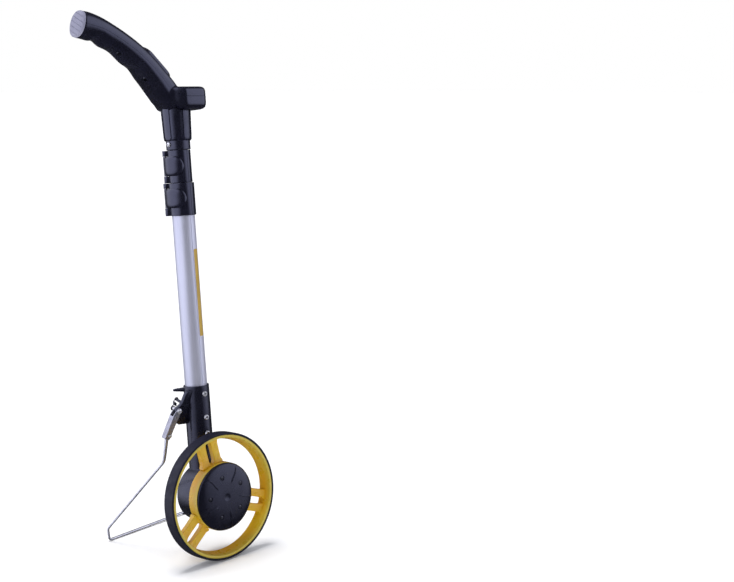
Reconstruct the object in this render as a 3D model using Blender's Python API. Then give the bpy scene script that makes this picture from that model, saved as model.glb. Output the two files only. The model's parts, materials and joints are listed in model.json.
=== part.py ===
"""Small folding-stand measuring wheel with a telescopic pole and a counter in the handle.

Lengths below are millimetres in the unit's own upright frame: X forward, Y to the left,
Z up, Y = 0 at the outer face of the wheel. The whole unit then leans on its stand.
"""

import math

import bmesh
import bpy
from mathutils import Matrix, Vector

# ---- driving dimensions (mm, degrees) ----
LEAN = 4.8              # sideways lean of the pole when it stands on the tyre and the stand
WHEEL_R = 79.6          # 500 mm of ground per turn
TYRE_W = 17.0
TYRE_IN_R = 77.0
RIM_LIP_R = 76.7
RIM_FAR_R = 70.0        # radius of the conical inner face at the far edge
RIM_NEAR_R = 73.6
HUB_R = 42.5
CAP_R = 42.3
CAP_RISE = 5.6
SPOKE_ANGLES = (-19.0, 101.0, 221.0)
BAR_W, BAR_GAP = 10.2, 8.4
SCREW_CIRCLE_R = 25.7
AXLE_R = 4.0

DRUM_R = 36.0
DRUM_Y0, DRUM_Y1 = 20.0, 50.0
POLE_Y = 42.25
SLEEVE_R, SLEEVE_BORE = 16.0, 14.0
SLEEVE_TOP, SLEEVE_FLOOR = 217.0, 120.0

LOWER_TUBE = (13.9, 12.5)      # outer and inner radius
MIDDLE_TUBE = (12.1, 10.8)
UPPER_TUBE = (10.4, 9.2)
LOWER_TUBE_Z = (120.3, 446.0)
MIDDLE_TUBE_Z = (150.0, 487.0)
UPPER_TUBE_Z = (160.0, 566.0)
LOWER_COLLAR_Z = (429.5, 469.4)
UPPER_COLLAR_Z = (469.7, 509.4)
COLLAR_R = (15.9, 14.3)
LEVER_ARC = (-38.0, 71.0)      # degrees from the rear direction, positive towards the wheel side

NECK_Z = (509.7, 522.0, 572.0)
HEAD_FRONT = 28.2
HEAD_HALF_W = 32.0

HINGE = (-31.6, 41.5, 190.0)   # middle of the stand's pivot
HINGE_TILT = 15.7
STAND_OUT = 19.0               # angle of the channel from straight down, in its swing plane
FOOT_WIRE_R = 1.6
FOOT_START = (-69.5, 160.7)    # on the floor
FOOT_END = (66.9, 176.6)
FOOT_END_RISE = 3.0            # wire centre above the floor inside the rubber tip
ORIGIN = (-27.206, 88.9965)    # middle of the whole footprint, moved to the world's origin

GAP = 0.3

MM = 0.001
for old in list(bpy.data.objects):
    bpy.data.objects.remove(old)


# ---- materials ----
def material(name, colour, metallic=0.0, roughness=0.5):
    made = bpy.data.materials.new(name)
    made.use_nodes = True
    shader = made.node_tree.nodes["Principled BSDF"]
    shader.inputs["Base Color"].default_value = (*colour, 1.0)
    shader.inputs["Metallic"].default_value = metallic
    shader.inputs["Roughness"].default_value = roughness
    return made


BLACK = material("black_plastic", (0.014, 0.014, 0.022), 0.0, 0.38)
TYRE = material("tyre_rubber", (0.030, 0.030, 0.055), 0.0, 0.75)
YELLOW = material("yellow_plastic", (0.70, 0.44, 0.02), 0.0, 0.35)
ALUMINIUM = material("satin_aluminium", (0.62, 0.62, 0.74), 0.9, 0.34)
LABEL = material("label_vinyl", (0.60, 0.38, 0.06), 0.0, 0.45)
STEEL = material("bright_steel", (0.70, 0.70, 0.72), 1.0, 0.22)
DARK_STEEL = material("dark_steel", (0.09, 0.09, 0.10), 1.0, 0.35)
BOARD = material("circuit_board", (0.02, 0.12, 0.05), 0.0, 0.45)
WINDOW = material("display_window", (0.75, 0.80, 0.88), 0.0, 0.05)
SCREEN = material("display_screen", (0.03, 0.22, 0.90), 0.0, 0.25)
CAP_GREY = material("grip_cap", (0.42, 0.42, 0.60), 0.0, 0.5)
KEYS_YELLOW = material("keypad_yellow", (0.85, 0.72, 0.01), 0.0, 0.4)
KEY_GREY = material("key_grey", (0.60, 0.60, 0.62), 0.0, 0.5)
KEY_RED = material("key_red", (0.45, 0.02, 0.04), 0.0, 0.5)
BATTERY = material("battery_sleeve", (0.10, 0.20, 0.45), 0.2, 0.35)
MAGNET = material("magnet", (0.12, 0.12, 0.13), 0.6, 0.45)


# ---- frames ----
def lean_matrix():
    edge = Matrix.Translation((0, TYRE_W * MM, 0))
    turn = Matrix.Rotation(-math.radians(LEAN), 4, "X")
    to_origin = Matrix.Translation((-ORIGIN[0] * MM, -ORIGIN[1] * MM, -0.00016))
    return to_origin @ edge @ turn @ edge.inverted()


UNIT = lean_matrix()


def empty(name, matrix, parent=None):
    made = bpy.data.objects.new(name, None)
    made.empty_display_size = 0.02
    bpy.context.collection.objects.link(made)
    if parent:
        made.parent = parent
    made.matrix_local = matrix
    return made


def at(x, y, z):
    return Matrix.Translation((x * MM, y * MM, z * MM))


unit = empty("unit_frame", UNIT)
wheel_axis = empty("wheel_axis", at(0, 0, WHEEL_R), unit)
pole_axis = empty("pole_axis", at(0, POLE_Y, 0), unit)
handle_frame = empty("handle_frame", at(0, POLE_Y, 0), unit)
STAND = at(*HINGE) @ Matrix.Rotation(math.radians(HINGE_TILT), 4, "X")
stand_axis = empty("stand_axis", STAND, unit)


# ---- mesh building ----
def solid(name, points, faces, paint=None, parent=None):
    """One closed body; points in millimetres in the parent's frame."""
    mesh = bpy.data.meshes.new(name)
    build = bmesh.new()
    made = [build.verts.new(Vector(p) * MM) for p in points]
    for face in faces:
        build.faces.new([made[i] for i in face])
    bmesh.ops.recalc_face_normals(build, faces=build.faces)
    build.to_mesh(mesh)
    build.free()
    obj = bpy.data.objects.new(name, mesh)
    bpy.context.collection.objects.link(obj)
    if parent:
        obj.parent = parent
    if paint:
        mesh.materials.append(paint)
    else:
        obj.hide_render = True
        obj.display_type = "WIRE"
    return obj


def ring_stack(rings, closed=False):
    """Faces joining equal rings of points, capped at both ends unless closed on itself."""
    points, faces = [], []
    count = len(rings[0])
    for ring in rings:
        points.extend(ring)
    rows = len(rings)
    for row in range(rows if closed else rows - 1):
        a, b = row * count, ((row + 1) % rows) * count
        for i in range(count):
            j = (i + 1) % count
            faces.append((a + i, a + j, b + j, b + i))
    if not closed:
        faces.append(tuple(range(count)))
        faces.append(tuple(range((rows - 1) * count, rows * count)))
    return points, faces


def lathe(profile, steps, axis="Z", centre=(0, 0), phase=0.0):
    """Turn a closed (radius, height) loop; a loop that touches the axis makes a full solid."""
    on_axis = any(r == 0 for r, h in profile)

    def place(r, h, t):
        c, s = r * math.cos(t), r * math.sin(t)
        if axis == "Z":
            return (centre[0] + c, centre[1] + s, h)
        return (centre[0] + c, h, centre[1] + s)

    angles = [phase + 2 * math.pi * k / steps for k in range(steps)]
    if not on_axis:
        return ring_stack([[place(r, h, t) for t in angles] for r, h in profile], closed=True)
    points, rows, faces = [], [], []
    for r, h in profile:
        if r == 0:
            rows.append([len(points)])
            points.append(place(0, h, 0))
        else:
            rows.append(list(range(len(points), len(points) + steps)))
            points.extend(place(r, h, t) for t in angles)
    for upper, lower in zip(rows, rows[1:]):
        for i in range(steps):
            j = (i + 1) % steps
            if len(upper) == 1:
                faces.append((upper[0], lower[i], lower[j]))
            elif len(lower) == 1:
                faces.append((upper[i], lower[0], upper[j]))
            else:
                faces.append((upper[i], lower[i], lower[j], upper[j]))
    return points, faces


def prism(outline, low, high, axis="Y"):
    """Extrude an outline given in the plane across the axis."""

    def place(p, h):
        if axis == "Y":
            return (p[0], h, p[1])
        return (p[0], p[1], h)

    return ring_stack([[place(p, low) for p in outline], [place(p, high) for p in outline]])


def block(x, y, z):
    return prism([(x[0], z[0]), (x[1], z[0]), (x[1], z[1]), (x[0], z[1])], y[0], y[1])


def spun(shape, angle):
    """Copy of a shape turned about the vertical axis."""
    points, faces = shape
    c, s = math.cos(math.radians(angle)), math.sin(math.radians(angle))
    return [(c * x - s * y, s * x + c * y, z) for x, y, z in points], faces


def disc(r, low, high, steps, axis="Z", centre=(0, 0), phase=0.0):
    return lathe([(0, low), (r, low), (r, high), (0, high)], steps, axis, centre, phase)


def pipe(r_out, r_in, low, high, steps, axis="Z", centre=(0, 0)):
    return lathe([(r_out, low), (r_out, high), (r_in, high), (r_in, low)], steps, axis, centre)


def arc_band(r_in, r_out, low, high, start, stop, steps):
    """Part of a pipe round Z; angles in degrees from -X, positive towards -Y."""
    rings = []
    for k in range(steps + 1):
        t = math.radians(180 + start + (stop - start) * k / steps)
        c, s = math.cos(t), math.sin(t)
        rings.append([(r * c, r * s, h) for r, h in
                      ((r_in, low), (r_out, low), (r_out, high), (r_in, high))])
    return ring_stack(rings)


def sweep(path, radii, steps=8, closed=False):
    """A round wire along a path of points, with one radius per point."""
    path = [Vector(p) for p in path]
    rings, side = [], None
    for i, point in enumerate(path):
        before = path[i - 1] if i or closed else point
        after = path[(i + 1) % len(path)] if i + 1 < len(path) or closed else point
        along_in = (point - before).normalized() if (point - before).length else None
        along_out = (after - point).normalized() if (after - point).length else None
        ahead = ((along_in or along_out) + (along_out or along_in)).normalized()
        if side is None:
            side = ahead.orthogonal().normalized()
        side = (side - ahead * side.dot(ahead)).normalized()
        other = ahead.cross(side)
        rings.append([tuple(point + radii[i] * (side * math.cos(t) + other * math.sin(t)))
                      for t in (2 * math.pi * k / steps for k in range(steps))])
    return ring_stack(rings, closed)


def merge(*shapes):
    """Several closed shapes in one helper mesh."""
    points, faces = [], []
    for more_points, more_faces in shapes:
        start = len(points)
        points.extend(more_points)
        faces.extend(tuple(i + start for i in face) for face in more_faces)
    return points, faces


def boolean(obj, operation, shape, name, parent=None):
    helper = solid(name, *shape, parent=parent or obj.parent)
    step = obj.modifiers.new(name, "BOOLEAN")
    step.operation = operation
    step.solver = "EXACT"
    step.object = helper
    return helper


def turned(shape, angle, centre=(0, 0)):
    """Copy of a shape turned about the Y direction through a centre in XZ."""
    points, faces = shape
    c, s = math.cos(math.radians(angle)), math.sin(math.radians(angle))
    moved = []
    for x, y, z in points:
        dx, dz = x - centre[0], z - centre[1]
        moved.append((centre[0] + c * dx - s * dz, y, centre[1] + s * dx + c * dz))
    return moved, faces


# ---- wheel (local frame: axle at the origin, Y along the axle) ----
rim = solid("wheel_rim", *lathe([
    (RIM_LIP_R, 0.4), (RIM_LIP_R, 16.6), (RIM_FAR_R + 1.8, 17.2), (RIM_FAR_R, 17.2),
    (RIM_NEAR_R, 0.4)], 60, "Y"), paint=YELLOW, parent=wheel_axis)
hub = lathe([(HUB_R, 1.0), (HUB_R, 17.0), (11.05, 17.0), (11.05, 3.0), (14.0, 3.0), (14.0, 13.5),
             (40.0, 13.5), (40.0, 1.0)], 40, "Y")
boolean(rim, "UNION", hub, "cut_hub_union")
bars = []
for angle in SPOKE_ANGLES:
    for side in (-1, 1):
        mid = side * (BAR_GAP + BAR_W) / 2
        shape = block((41.0, 72.6), (9.0, 16.4), (mid - BAR_W / 2, mid + BAR_W / 2))
        bars.append(turned(shape, angle))
boolean(rim, "UNION", merge(*bars), "cut_spokes_union")
solid("tyre", *lathe([
    (TYRE_IN_R, 0.0), (WHEEL_R - 1.0, 0.0), (WHEEL_R - 0.2, 0.6), (WHEEL_R, 1.8),
    (WHEEL_R, TYRE_W - 1.8), (WHEEL_R - 0.2, TYRE_W - 0.6), (WHEEL_R - 1.0, TYRE_W),
    (TYRE_IN_R, TYRE_W)], 60, "Y"), paint=TYRE, parent=wheel_axis)

cap = solid("hub_cap", *lathe([
    (0, -CAP_RISE), (20, -CAP_RISE + 0.3), (32, -CAP_RISE + 1.2), (38.5, -CAP_RISE + 2.6),
    (41.5, -1.2), (CAP_R, 0.7), (39.6, 0.7), (36.5, -1.4), (26, -2.9), (0, -3.4)], 40, "Y"),
    paint=BLACK, parent=wheel_axis)


def rib_shape():
    """One curved rib of the cap, from the middle ring out to the edge."""
    rings = []
    for k in range(5):
        f = k / 4
        r = 19 + 20.5 * f
        t = math.radians(66.5 - 17 * math.sin(math.pi * f * 0.5) + 14 * f)
        crest = -CAP_RISE - 0.9 + 3.4 * f ** 3
        c, s = math.cos(t), math.sin(t)
        rings.append([(r * c - w * s, y, r * s + w * c) for w, y in
                      ((-1.1, crest), (1.1, crest), (1.6, -2.6 + 1.8 * f ** 3),
                       (-1.6, -2.6 + 1.8 * f ** 3))])
    return ring_stack(rings)


rib = rib_shape()
boolean(cap, "UNION", merge(*[turned(rib, 72 * k) for k in range(5)]), "cut_ribs_union")
recesses, holes = [], []
for k in range(5):
    angle = math.radians(30.5 + 72 * k)
    place = (SCREW_CIRCLE_R * math.cos(angle), SCREW_CIRCLE_R * math.sin(angle))
    holes.append(disc(1.7, -9, 2, 12, "Y", place))
    recesses.append(disc(2.9, -9, -3.7, 14, "Y", place))
    solid(f"hub_screw_{k + 1}", *lathe([
        (0, -4.9), (1.7, -4.8), (2.4, -4.3), (2.4, -4.0), (1.25, -4.0), (1.25, 8.0), (0, 8.0)],
        12, "Y", place), paint=DARK_STEEL, parent=wheel_axis)
boolean(cap, "DIFFERENCE", merge(*recesses), "cut_cap_recesses")
boolean(cap, "DIFFERENCE", merge(*holes), "cut_cap_holes")

for name, low in (("bearing_outer", 3.4), ("bearing_inner", 10.4)):
    solid(name, *pipe(11.0, AXLE_R + 0.05, low, low + 6.4, 32, "Y"), paint=STEEL, parent=wheel_axis)
solid("magnet_ring", *pipe(30.0, 24.0, 17.3, 19.0, 32, "Y"), paint=MAGNET, parent=wheel_axis)

# ---- axle and its fasteners ----
solid("axle", *lathe([
    (0, 0.6), (3.6, 0.6), (AXLE_R, 1.0), (AXLE_R, 17.6), (7.0, 17.6), (7.0, 19.7), (AXLE_R, 19.7),
    (AXLE_R, 36.0), (3.4, 36.6), (0, 36.6)], 32, "Y"), paint=STEEL, parent=wheel_axis)
solid("axle_clip", *pipe(6.4, AXLE_R + 0.08, 1.4, 2.8, 24, "Y"), paint=STEEL, parent=wheel_axis)
nut = [(7.4 * math.cos(math.radians(60 * k)), 7.4 * math.sin(math.radians(60 * k))) for k in range(6)]
axle_nut = solid("axle_nut", *prism(nut, 25.3, 31.3), paint=STEEL, parent=wheel_axis)
boolean(axle_nut, "DIFFERENCE", disc(AXLE_R + 0.05, 24, 33, 32, "Y"), "cut_nut_bore")

# ---- bracket: drum, sleeve, stand lug ----
bracket = solid("bracket", *lathe([
    (AXLE_R + 0.05, DRUM_Y0), (33.5, DRUM_Y0), (DRUM_R, DRUM_Y0 + 2.2), (DRUM_R, DRUM_Y1),
    (33.4, DRUM_Y1), (33.4, DRUM_Y0 + 5.0), (AXLE_R + 0.05, DRUM_Y0 + 5.0)], 48, "Y"),
    paint=BLACK, parent=wheel_axis)
sleeve = solid("cut_sleeve_union", *lathe([
    (0, 90), (SLEEVE_R, 90), (SLEEVE_R, SLEEVE_TOP - 0.8), (SLEEVE_R - 0.8, SLEEVE_TOP),
    (0, SLEEVE_TOP)], 32), parent=pole_axis)
lug = [(19.1, -20.5), (1.6, -19.0), (-1.9, -12.0), (-3.8, -2.4), (-3.4, 2.4), (-1.0, 4.4), (1.4, 6.0),
       (4.9, 9.9), (6.3, 13.8), (8.6, 20.2), (11.5, 23.6), (19.1, 24.4)]
boolean(sleeve, "UNION", prism(lug, -2.5, 2.5), "cut_lug_union", stand_axis)
rib = ring_stack([[(x, y, z) for y, z in ((-2.2, 3.6), (-2.2, 6.0), (-reach, 5.6), (-reach, 5.0))]
                  for x, reach in ((6.0, 5.4), (17.1, 4.4))])
boolean(sleeve, "UNION", rib, "cut_lug_rib_union", stand_axis)
# Post on the far side of the lug that the spring hooks over.
POST = Vector((5.9, 0, 9.0))
boolean(sleeve, "UNION", disc(1.7, 2.0, 13.0, 12, "Y", tuple(POST.xz)), "cut_post_union", stand_axis)
peg_dir = Vector((-0.785, 0.62, 0))
peg_start = Vector((0, 0, 212.0))
boolean(sleeve, "UNION", sweep([peg_start + peg_dir * 14.9, peg_start + peg_dir * 17,
                                peg_start + peg_dir * 29], [2.7, 2.7, 1.5], 8),
        "cut_peg_union", pole_axis)
SCREW_Z = (206.8, 177.1, 156.9)
boolean(sleeve, "DIFFERENCE", merge(*[disc(1.7, -20, -5, 11, "Y", (0, z), 0.2) for z in SCREW_Z]),
        "cut_bracket_screws", pole_axis)
boolean(sleeve, "DIFFERENCE", disc(34.2, 10.0, 70.0, 50, "Y"), "cut_drum_cavity", wheel_axis)
boolean(sleeve, "DIFFERENCE", disc(SLEEVE_BORE, SLEEVE_FLOOR, 230.0, 32), "cut_sleeve_bore", pole_axis)
boolean(sleeve, "DIFFERENCE", disc(2.5, -8, 8, 16, "Y"), "cut_lug_bore", stand_axis)
step = bracket.modifiers.new("sleeve", "BOOLEAN")
step.operation, step.solver, step.object = "UNION", "EXACT", sleeve
for k, z in enumerate(SCREW_Z):
    solid(f"bracket_screw_{k + 1}", *lathe([
        (0, -18.4), (2.0, -18.2), (3.3, -17.3), (3.4, -16.3), (1.4, -16.3), (1.4, -12.7), (0, -12.7)],
        14, "Y", (0, z)), paint=STEEL, parent=pole_axis)

cover = solid("drum_cover", *lathe([
    (0, 46.6), (33.1, 46.6), (33.1, 49.2), (31.6, 50.0), (0, 50.0)], 48, "Y"),
    paint=BLACK, parent=wheel_axis)
# The sleeve passes behind the top of the cover, so the cover is cut back below it.
boolean(cover, "DIFFERENCE", block((-19, 19), (40, 60), (26.0, 40)), "cut_cover_relief", wheel_axis)

board = solid("sensor_board", *block((-13, 13), (33.0, 34.6), (-27.5, -11.0)), paint=BOARD,
              parent=wheel_axis)
boolean(board, "UNION", block((-3, 3), (27.5, 33.4), (-25.5, -21.5)), "cut_sensor_union", wheel_axis)

# ---- pole ----
lower_tube = solid("lower_tube", *pipe(*LOWER_TUBE, *LOWER_TUBE_Z, 32), paint=ALUMINIUM,
                   parent=pole_axis)
boolean(lower_tube, "DIFFERENCE", block((-0.45, 0.45), (-16, -13.4), (218.5, 430)),
        "cut_tube_groove", pole_axis)
boolean(lower_tube, "DIFFERENCE", merge(*[disc(1.7, -20, -5, 12, "Y", (0, z), 0.13) for z in SCREW_Z]),
        "cut_tube_screws", pole_axis)
solid("tube_label", *arc_band(LOWER_TUBE[0] + 0.08, LOWER_TUBE[0] + 0.35, 279.0, 387.5, 96, 124, 4),
      paint=LABEL, parent=pole_axis)
middle_tube = solid("middle_tube", *pipe(*MIDDLE_TUBE, *MIDDLE_TUBE_Z, 32), paint=ALUMINIUM,
                    parent=pole_axis)
upper_tube = solid("upper_tube", *pipe(*UPPER_TUBE, *UPPER_TUBE_Z, 32), paint=ALUMINIUM,
                   parent=pole_axis)
solid("middle_bush", *lathe([
    (MIDDLE_TUBE[0] + 0.32, 137.0), (MIDDLE_TUBE[0] + 0.32, 149.7), (UPPER_TUBE[1], 149.7),
    (UPPER_TUBE[1], 137.0)], 32), paint=BLACK, parent=pole_axis)
solid("upper_bush", *lathe([
    (MIDDLE_TUBE[1] - 0.08, 151.0), (MIDDLE_TUBE[1] - 0.08, 159.7), (6.0, 159.7), (6.0, 151.0)], 32),
    paint=BLACK, parent=pole_axis)

LEVER_SPAN = ((439.3, 462.8), (478.4, 502.2))
SLOT_TURN = -66.0       # where each clamp is split, from +X towards -Y


def collar(name, span, body_r, tube_low, tube_high, split, lever_span):
    """Clamp that holds one tube end and grips the thinner tube, with lugs for its lever pin."""
    low, high = span
    made = solid(name, *lathe([
        (body_r - 0.9, low), (body_r, low + 0.9), (body_r, high - 0.9), (body_r - 0.9, high),
        (tube_high, high), (tube_high, split), (tube_low, split), (tube_low, low)], 32),
        paint=BLACK, parent=pole_axis)
    reach, turn = body_r + 2.4, math.radians(38)
    pin = Vector((-reach * math.cos(turn), reach * math.sin(turn), 0))
    out = pin.normalized()
    side = Vector((-out.y, out.x, 0))
    lugs = []
    for z0, z1 in ((low + 0.3, lever_span[0] - GAP), (lever_span[1] + GAP, high - 0.3)):
        outline = [pin + out * a + side * b for a, b in
                   ((-3.6, -4.0), (1.0, -4.0), (3.4, -2.2), (3.4, 2.2), (1.0, 4.0), (-3.6, 4.0))]
        lugs.append(prism([(p.x, p.y) for p in outline], z0, z1, "Z"))
    boolean(made, "UNION", merge(*lugs), f"cut_{name}_lugs_union", pole_axis)
    boolean(made, "DIFFERENCE", disc(1.3, low + 2.6, high + 5, 12, "Z", (pin.x, pin.y)),
            f"cut_{name}_pin_bore", pole_axis)
    slot = block((tube_high - 1.5, body_r + 3), (-0.6, 0.6), (low - 2, high + 2))
    boolean(made, "DIFFERENCE", spun(slot, SLOT_TURN), f"cut_{name}_slot", pole_axis)
    solid(name.replace("collar", "lever_pin"), *disc(1.25, low + 2.7, high - 1.3, 12, "Z", (pin.x, pin.y)),
          paint=STEEL, parent=pole_axis)
    hinge = empty(name.replace("collar", "lever_axis"), at(pin.x, pin.y, 0), pole_axis)
    points, faces = arc_band(body_r + 0.4, body_r + 4.6, lever_span[0], lever_span[1], *LEVER_ARC, 9)
    lever = solid(name.replace("collar", "lever"), [Vector(p) - pin for p in points], faces,
                  paint=BLACK, parent=hinge)
    eye = disc(3.0, lever_span[0], lever_span[1], 16, "Z", (pin.x, pin.y))
    boolean(lever, "UNION", eye, f"cut_{name}_eye_union", pole_axis)
    boolean(lever, "DIFFERENCE", disc(1.31, low - 2, high + 5, 12, "Z", (pin.x, pin.y)),
            f"cut_{name}_eye_bore", pole_axis)
    # Room for the lever's knuckle where it turns next to the clamp.
    boolean(made, "DIFFERENCE", disc(3.3, lever_span[0] - GAP, lever_span[1] + GAP, 16, "Z",
                                     (pin.x, pin.y)), f"cut_{name}_knuckle_room", pole_axis)
    return made


collar("lower_collar", LOWER_COLLAR_Z, COLLAR_R[0], LOWER_TUBE[0] + 0.05, MIDDLE_TUBE[0] + 0.05,
       LOWER_TUBE_Z[1] + GAP, LEVER_SPAN[0])
collar("upper_collar", UPPER_COLLAR_Z, COLLAR_R[1], MIDDLE_TUBE[0] + 0.05, UPPER_TUBE[0] + 0.05,
       MIDDLE_TUBE_Z[1] + GAP, LEVER_SPAN[1])

# ---- neck ----
neck = solid("neck_socket", *lathe([
    (14.2, NECK_Z[0]), (14.8, NECK_Z[0] + 0.8), (14.8, NECK_Z[1] - 1.0), (16.6, NECK_Z[1] + 1.2),
    (17.4, NECK_Z[1] + 3.0), (18.3, NECK_Z[1] + 36.0), (18.3, NECK_Z[2]), (10.45, NECK_Z[2]),
    (10.45, NECK_Z[0])], 32),
    paint=BLACK, parent=pole_axis)
NECK_SCREW_TURN = -85.0     # from facing -Y round to the rear
drill = spun(disc(1.6, -30, -5, 12, "Y", (0, 516.5)), NECK_SCREW_TURN)
boolean(neck, "DIFFERENCE", drill, "cut_neck_screw", pole_axis)
boolean(upper_tube, "DIFFERENCE", drill, "cut_upper_screw", pole_axis)
solid("neck_screw", *spun(lathe([
    (0, -17.2), (1.8, -17.0), (3.0, -16.1), (3.1, -15.1), (1.3, -15.1), (1.3, -9.7), (0, -9.7)],
    12, "Y", (0, 516.5)), NECK_SCREW_TURN), paint=STEEL, parent=pole_axis)

# ---- handle: outer form is a flat head plus a curved grip ----
# Stations of (x, z, slope, half width, half height, roundness).
GRIP = [
    (-127.0, 657.9, 15, 14.8, 16.0, 2.2),
    (-118.0, 656.3, 17, 15.4, 16.0, 2.2),
    (-105.0, 652.0, 22, 16.4, 15.6, 2.2),
    (-90.4, 644.9, 29, 17.2, 15.0, 2.3),
    (-76.4, 636.5, 34, 18.0, 15.2, 2.3),
    (-62.1, 626.8, 38, 18.8, 14.9, 2.4),
    (-50.3, 616.9, 41, 19.6, 14.4, 2.6),
    (-40.0, 606.6, 43.5, 20.2, 14.0, 2.8),
    (-30.6, 596.0, 46.5, 20.6, 14.0, 2.9),
    (-21.5, 585.5, 49, 20.6, 14.8, 3.0),
    (-12.5, 574.0, 51, 19.6, 15.0, 3.0),
    (-5.0, 565.5, 53, 18.0, 12.6, 3.0),
]
HEAD = [
    (-24.0, 577.5, 0, 19.0, 8.0, 4.0),
    (-18.0, 576.3, 0, 22.0, 9.2, 5.0),
    (-12.5, 574.9, 0, 27.0, 10.6, 6.0),
    (-7.0, 573.1, 0, 31.0, 12.4, 6.0),
    (-2.5, 572.6, 0, HEAD_HALF_W, 12.9, 6.0),
    (17.0, 572.6, 0, HEAD_HALF_W, 12.9, 6.0),
    (22.5, 572.6, 0, 30.8, 12.9, 5.6),
    (26.5, 572.6, 0, 27.4, 12.3, 5.0),
    (HEAD_FRONT, 572.6, 0, 23.8, 10.8, 4.6),
]
BELLY = 1.2             # the head is this much deeper below its middle than above it
WALL = 2.4
SECTION_STEPS = 20


def section(station, inset, ahead=0.0, belly=1.0):
    """One closed cross-section of the handle, moved in by inset and along by ahead."""
    x, z, slope, half_w, half_h, power = station
    slope = math.radians(slope)
    up = Vector((math.sin(slope), 0, math.cos(slope)))
    along = Vector((math.cos(slope), 0, -math.sin(slope)))
    made = []
    for k in range(SECTION_STEPS):
        t = 2 * math.pi * k / SECTION_STEPS
        c, s = math.cos(t), math.sin(t)
        w = (half_w - inset) * math.copysign(abs(c) ** (2 / power), c)
        deep = half_h * (belly if s < 0 else 1.0) - inset
        h = deep * math.copysign(abs(s) ** (2 / power), s)
        made.append(tuple(Vector((x, 0, z)) + up * h + along * ahead + Vector((0, w, 0))))
    return made


def grip_form(inset, beyond=0.0):
    rings = [section(station, inset) for station in GRIP]
    if beyond:
        rings[0] = section(GRIP[0], inset, -beyond)
        rings[-1] = section(GRIP[-1], inset, beyond)
    return ring_stack(rings)


def head_form(inset):
    rings = [section(station, inset, 0.0, BELLY) for station in HEAD]
    if inset:
        rings[0] = section(HEAD[0], inset, 0.5, BELLY)
        rings[-1] = section(HEAD[-1], inset, -inset, BELLY)
        rings[-2] = section(HEAD[-2], inset, -inset, BELLY)
    return ring_stack(rings)


# The seam runs along the middle of the grip and the head.
SEAM = [(-140.0, 661.5), (-127.0, 657.9), (-105.0, 652.0), (-90.4, 644.9), (-76.4, 636.5), (-62.1, 626.8),
        (-50.3, 616.9), (-40.0, 606.6), (-30.6, 596.0), (-21.5, 584.8), (-13.0, 576.5), (-4.0, 573.6),
        (8.0, 573.2), (40.0, 573.2)]


def seam_block(side):
    far = 760.0 if side > 0 else 480.0
    outline = [(x, z - side * 0.15) for x, z in SEAM] + [(40.0, far), (-140.0, far)]
    return prism(outline, -60, 60)


hollow = solid("cut_handle_hollow", *head_form(WALL), parent=handle_frame)
boolean(hollow, "UNION", grip_form(WALL, 1.0), "cut_hollow_grip", handle_frame)


def shell(name, side):
    """Upper (+1) or lower (-1) half of the hollow handle."""
    made = solid(name, *head_form(0.0), paint=BLACK, parent=handle_frame)
    boolean(made, "UNION", grip_form(0.0), f"cut_{name}_grip", handle_frame)
    step = made.modifiers.new("hollow", "BOOLEAN")
    step.operation, step.solver, step.object = "DIFFERENCE", "EXACT", hollow
    boolean(made, "DIFFERENCE", seam_block(-side), f"cut_{name}_seam", handle_frame)
    return made


upper = shell("handle_upper_shell", 1)
lower = shell("handle_lower_shell", -1)
neck_room = solid("cut_neck_top", *head_form(-GAP), parent=handle_frame)
boolean(neck_room, "UNION", grip_form(-GAP), "cut_neck_top_grip", handle_frame)
step = neck.modifiers.new("below_handle", "BOOLEAN")
step.operation, step.solver, step.object = "DIFFERENCE", "EXACT", neck_room
boolean(lower, "DIFFERENCE", disc(UPPER_TUBE[0] + 0.06, 540, 571, 32), "cut_shell_tube", handle_frame)


# ---- display in the head ----
def rounded(half_x, half_y, radius, steps=4, centre=(0.0, 0.0)):
    made = []
    for cx, cy, start in ((1, 1, 0), (-1, 1, 90), (-1, -1, 180), (1, -1, 270)):
        for k in range(steps + 1):
            t = math.radians(start + 90 * k / steps)
            made.append((centre[0] + cx * (half_x - radius) + radius * math.cos(t),
                         centre[1] + cy * (half_y - radius) + radius * math.sin(t)))
    return made


def frame_ring(outer, inner, low, high):
    """A flat frame between two outlines with equal point counts."""
    rings = [[(x, y, low) for x, y in outer], [(x, y, high) for x, y in outer],
             [(x, y, high) for x, y in inner], [(x, y, low) for x, y in inner]]
    return ring_stack(rings, closed=True)


DISPLAY_X = 11.6
WINDOW_HALF = (10.2, 24.2)
centre = (DISPLAY_X, 0.0)
boolean(upper, "DIFFERENCE", prism(rounded(10.5, 24.5, 3.3, 4, centre), 581.5, 600, "Z"),
        "cut_window_recess", handle_frame)
solid("display_window", *prism(rounded(*WINDOW_HALF, 3.0, 4, centre), 583.6, 585.1, "Z"),
      paint=WINDOW, parent=handle_frame)
solid("display_bezel", *frame_ring(rounded(*WINDOW_HALF, 3.0, 4, centre),
                                   rounded(8.0, 20.0, 1.0, 4, centre), 580.6, 583.3),
      paint=STEEL, parent=handle_frame)
solid("lcd_module", *block((DISPLAY_X - 9.8, DISPLAY_X + 9.8), (-23.5, 23.5), (576.4, 580.3)),
      paint=SCREEN, parent=handle_frame)
solid("main_board", *prism(rounded(15.5, 26.0, 3.0, 3, (8.0, 0.0)), 573.9, 575.4, "Z"),
      paint=BOARD, parent=handle_frame)

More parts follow.
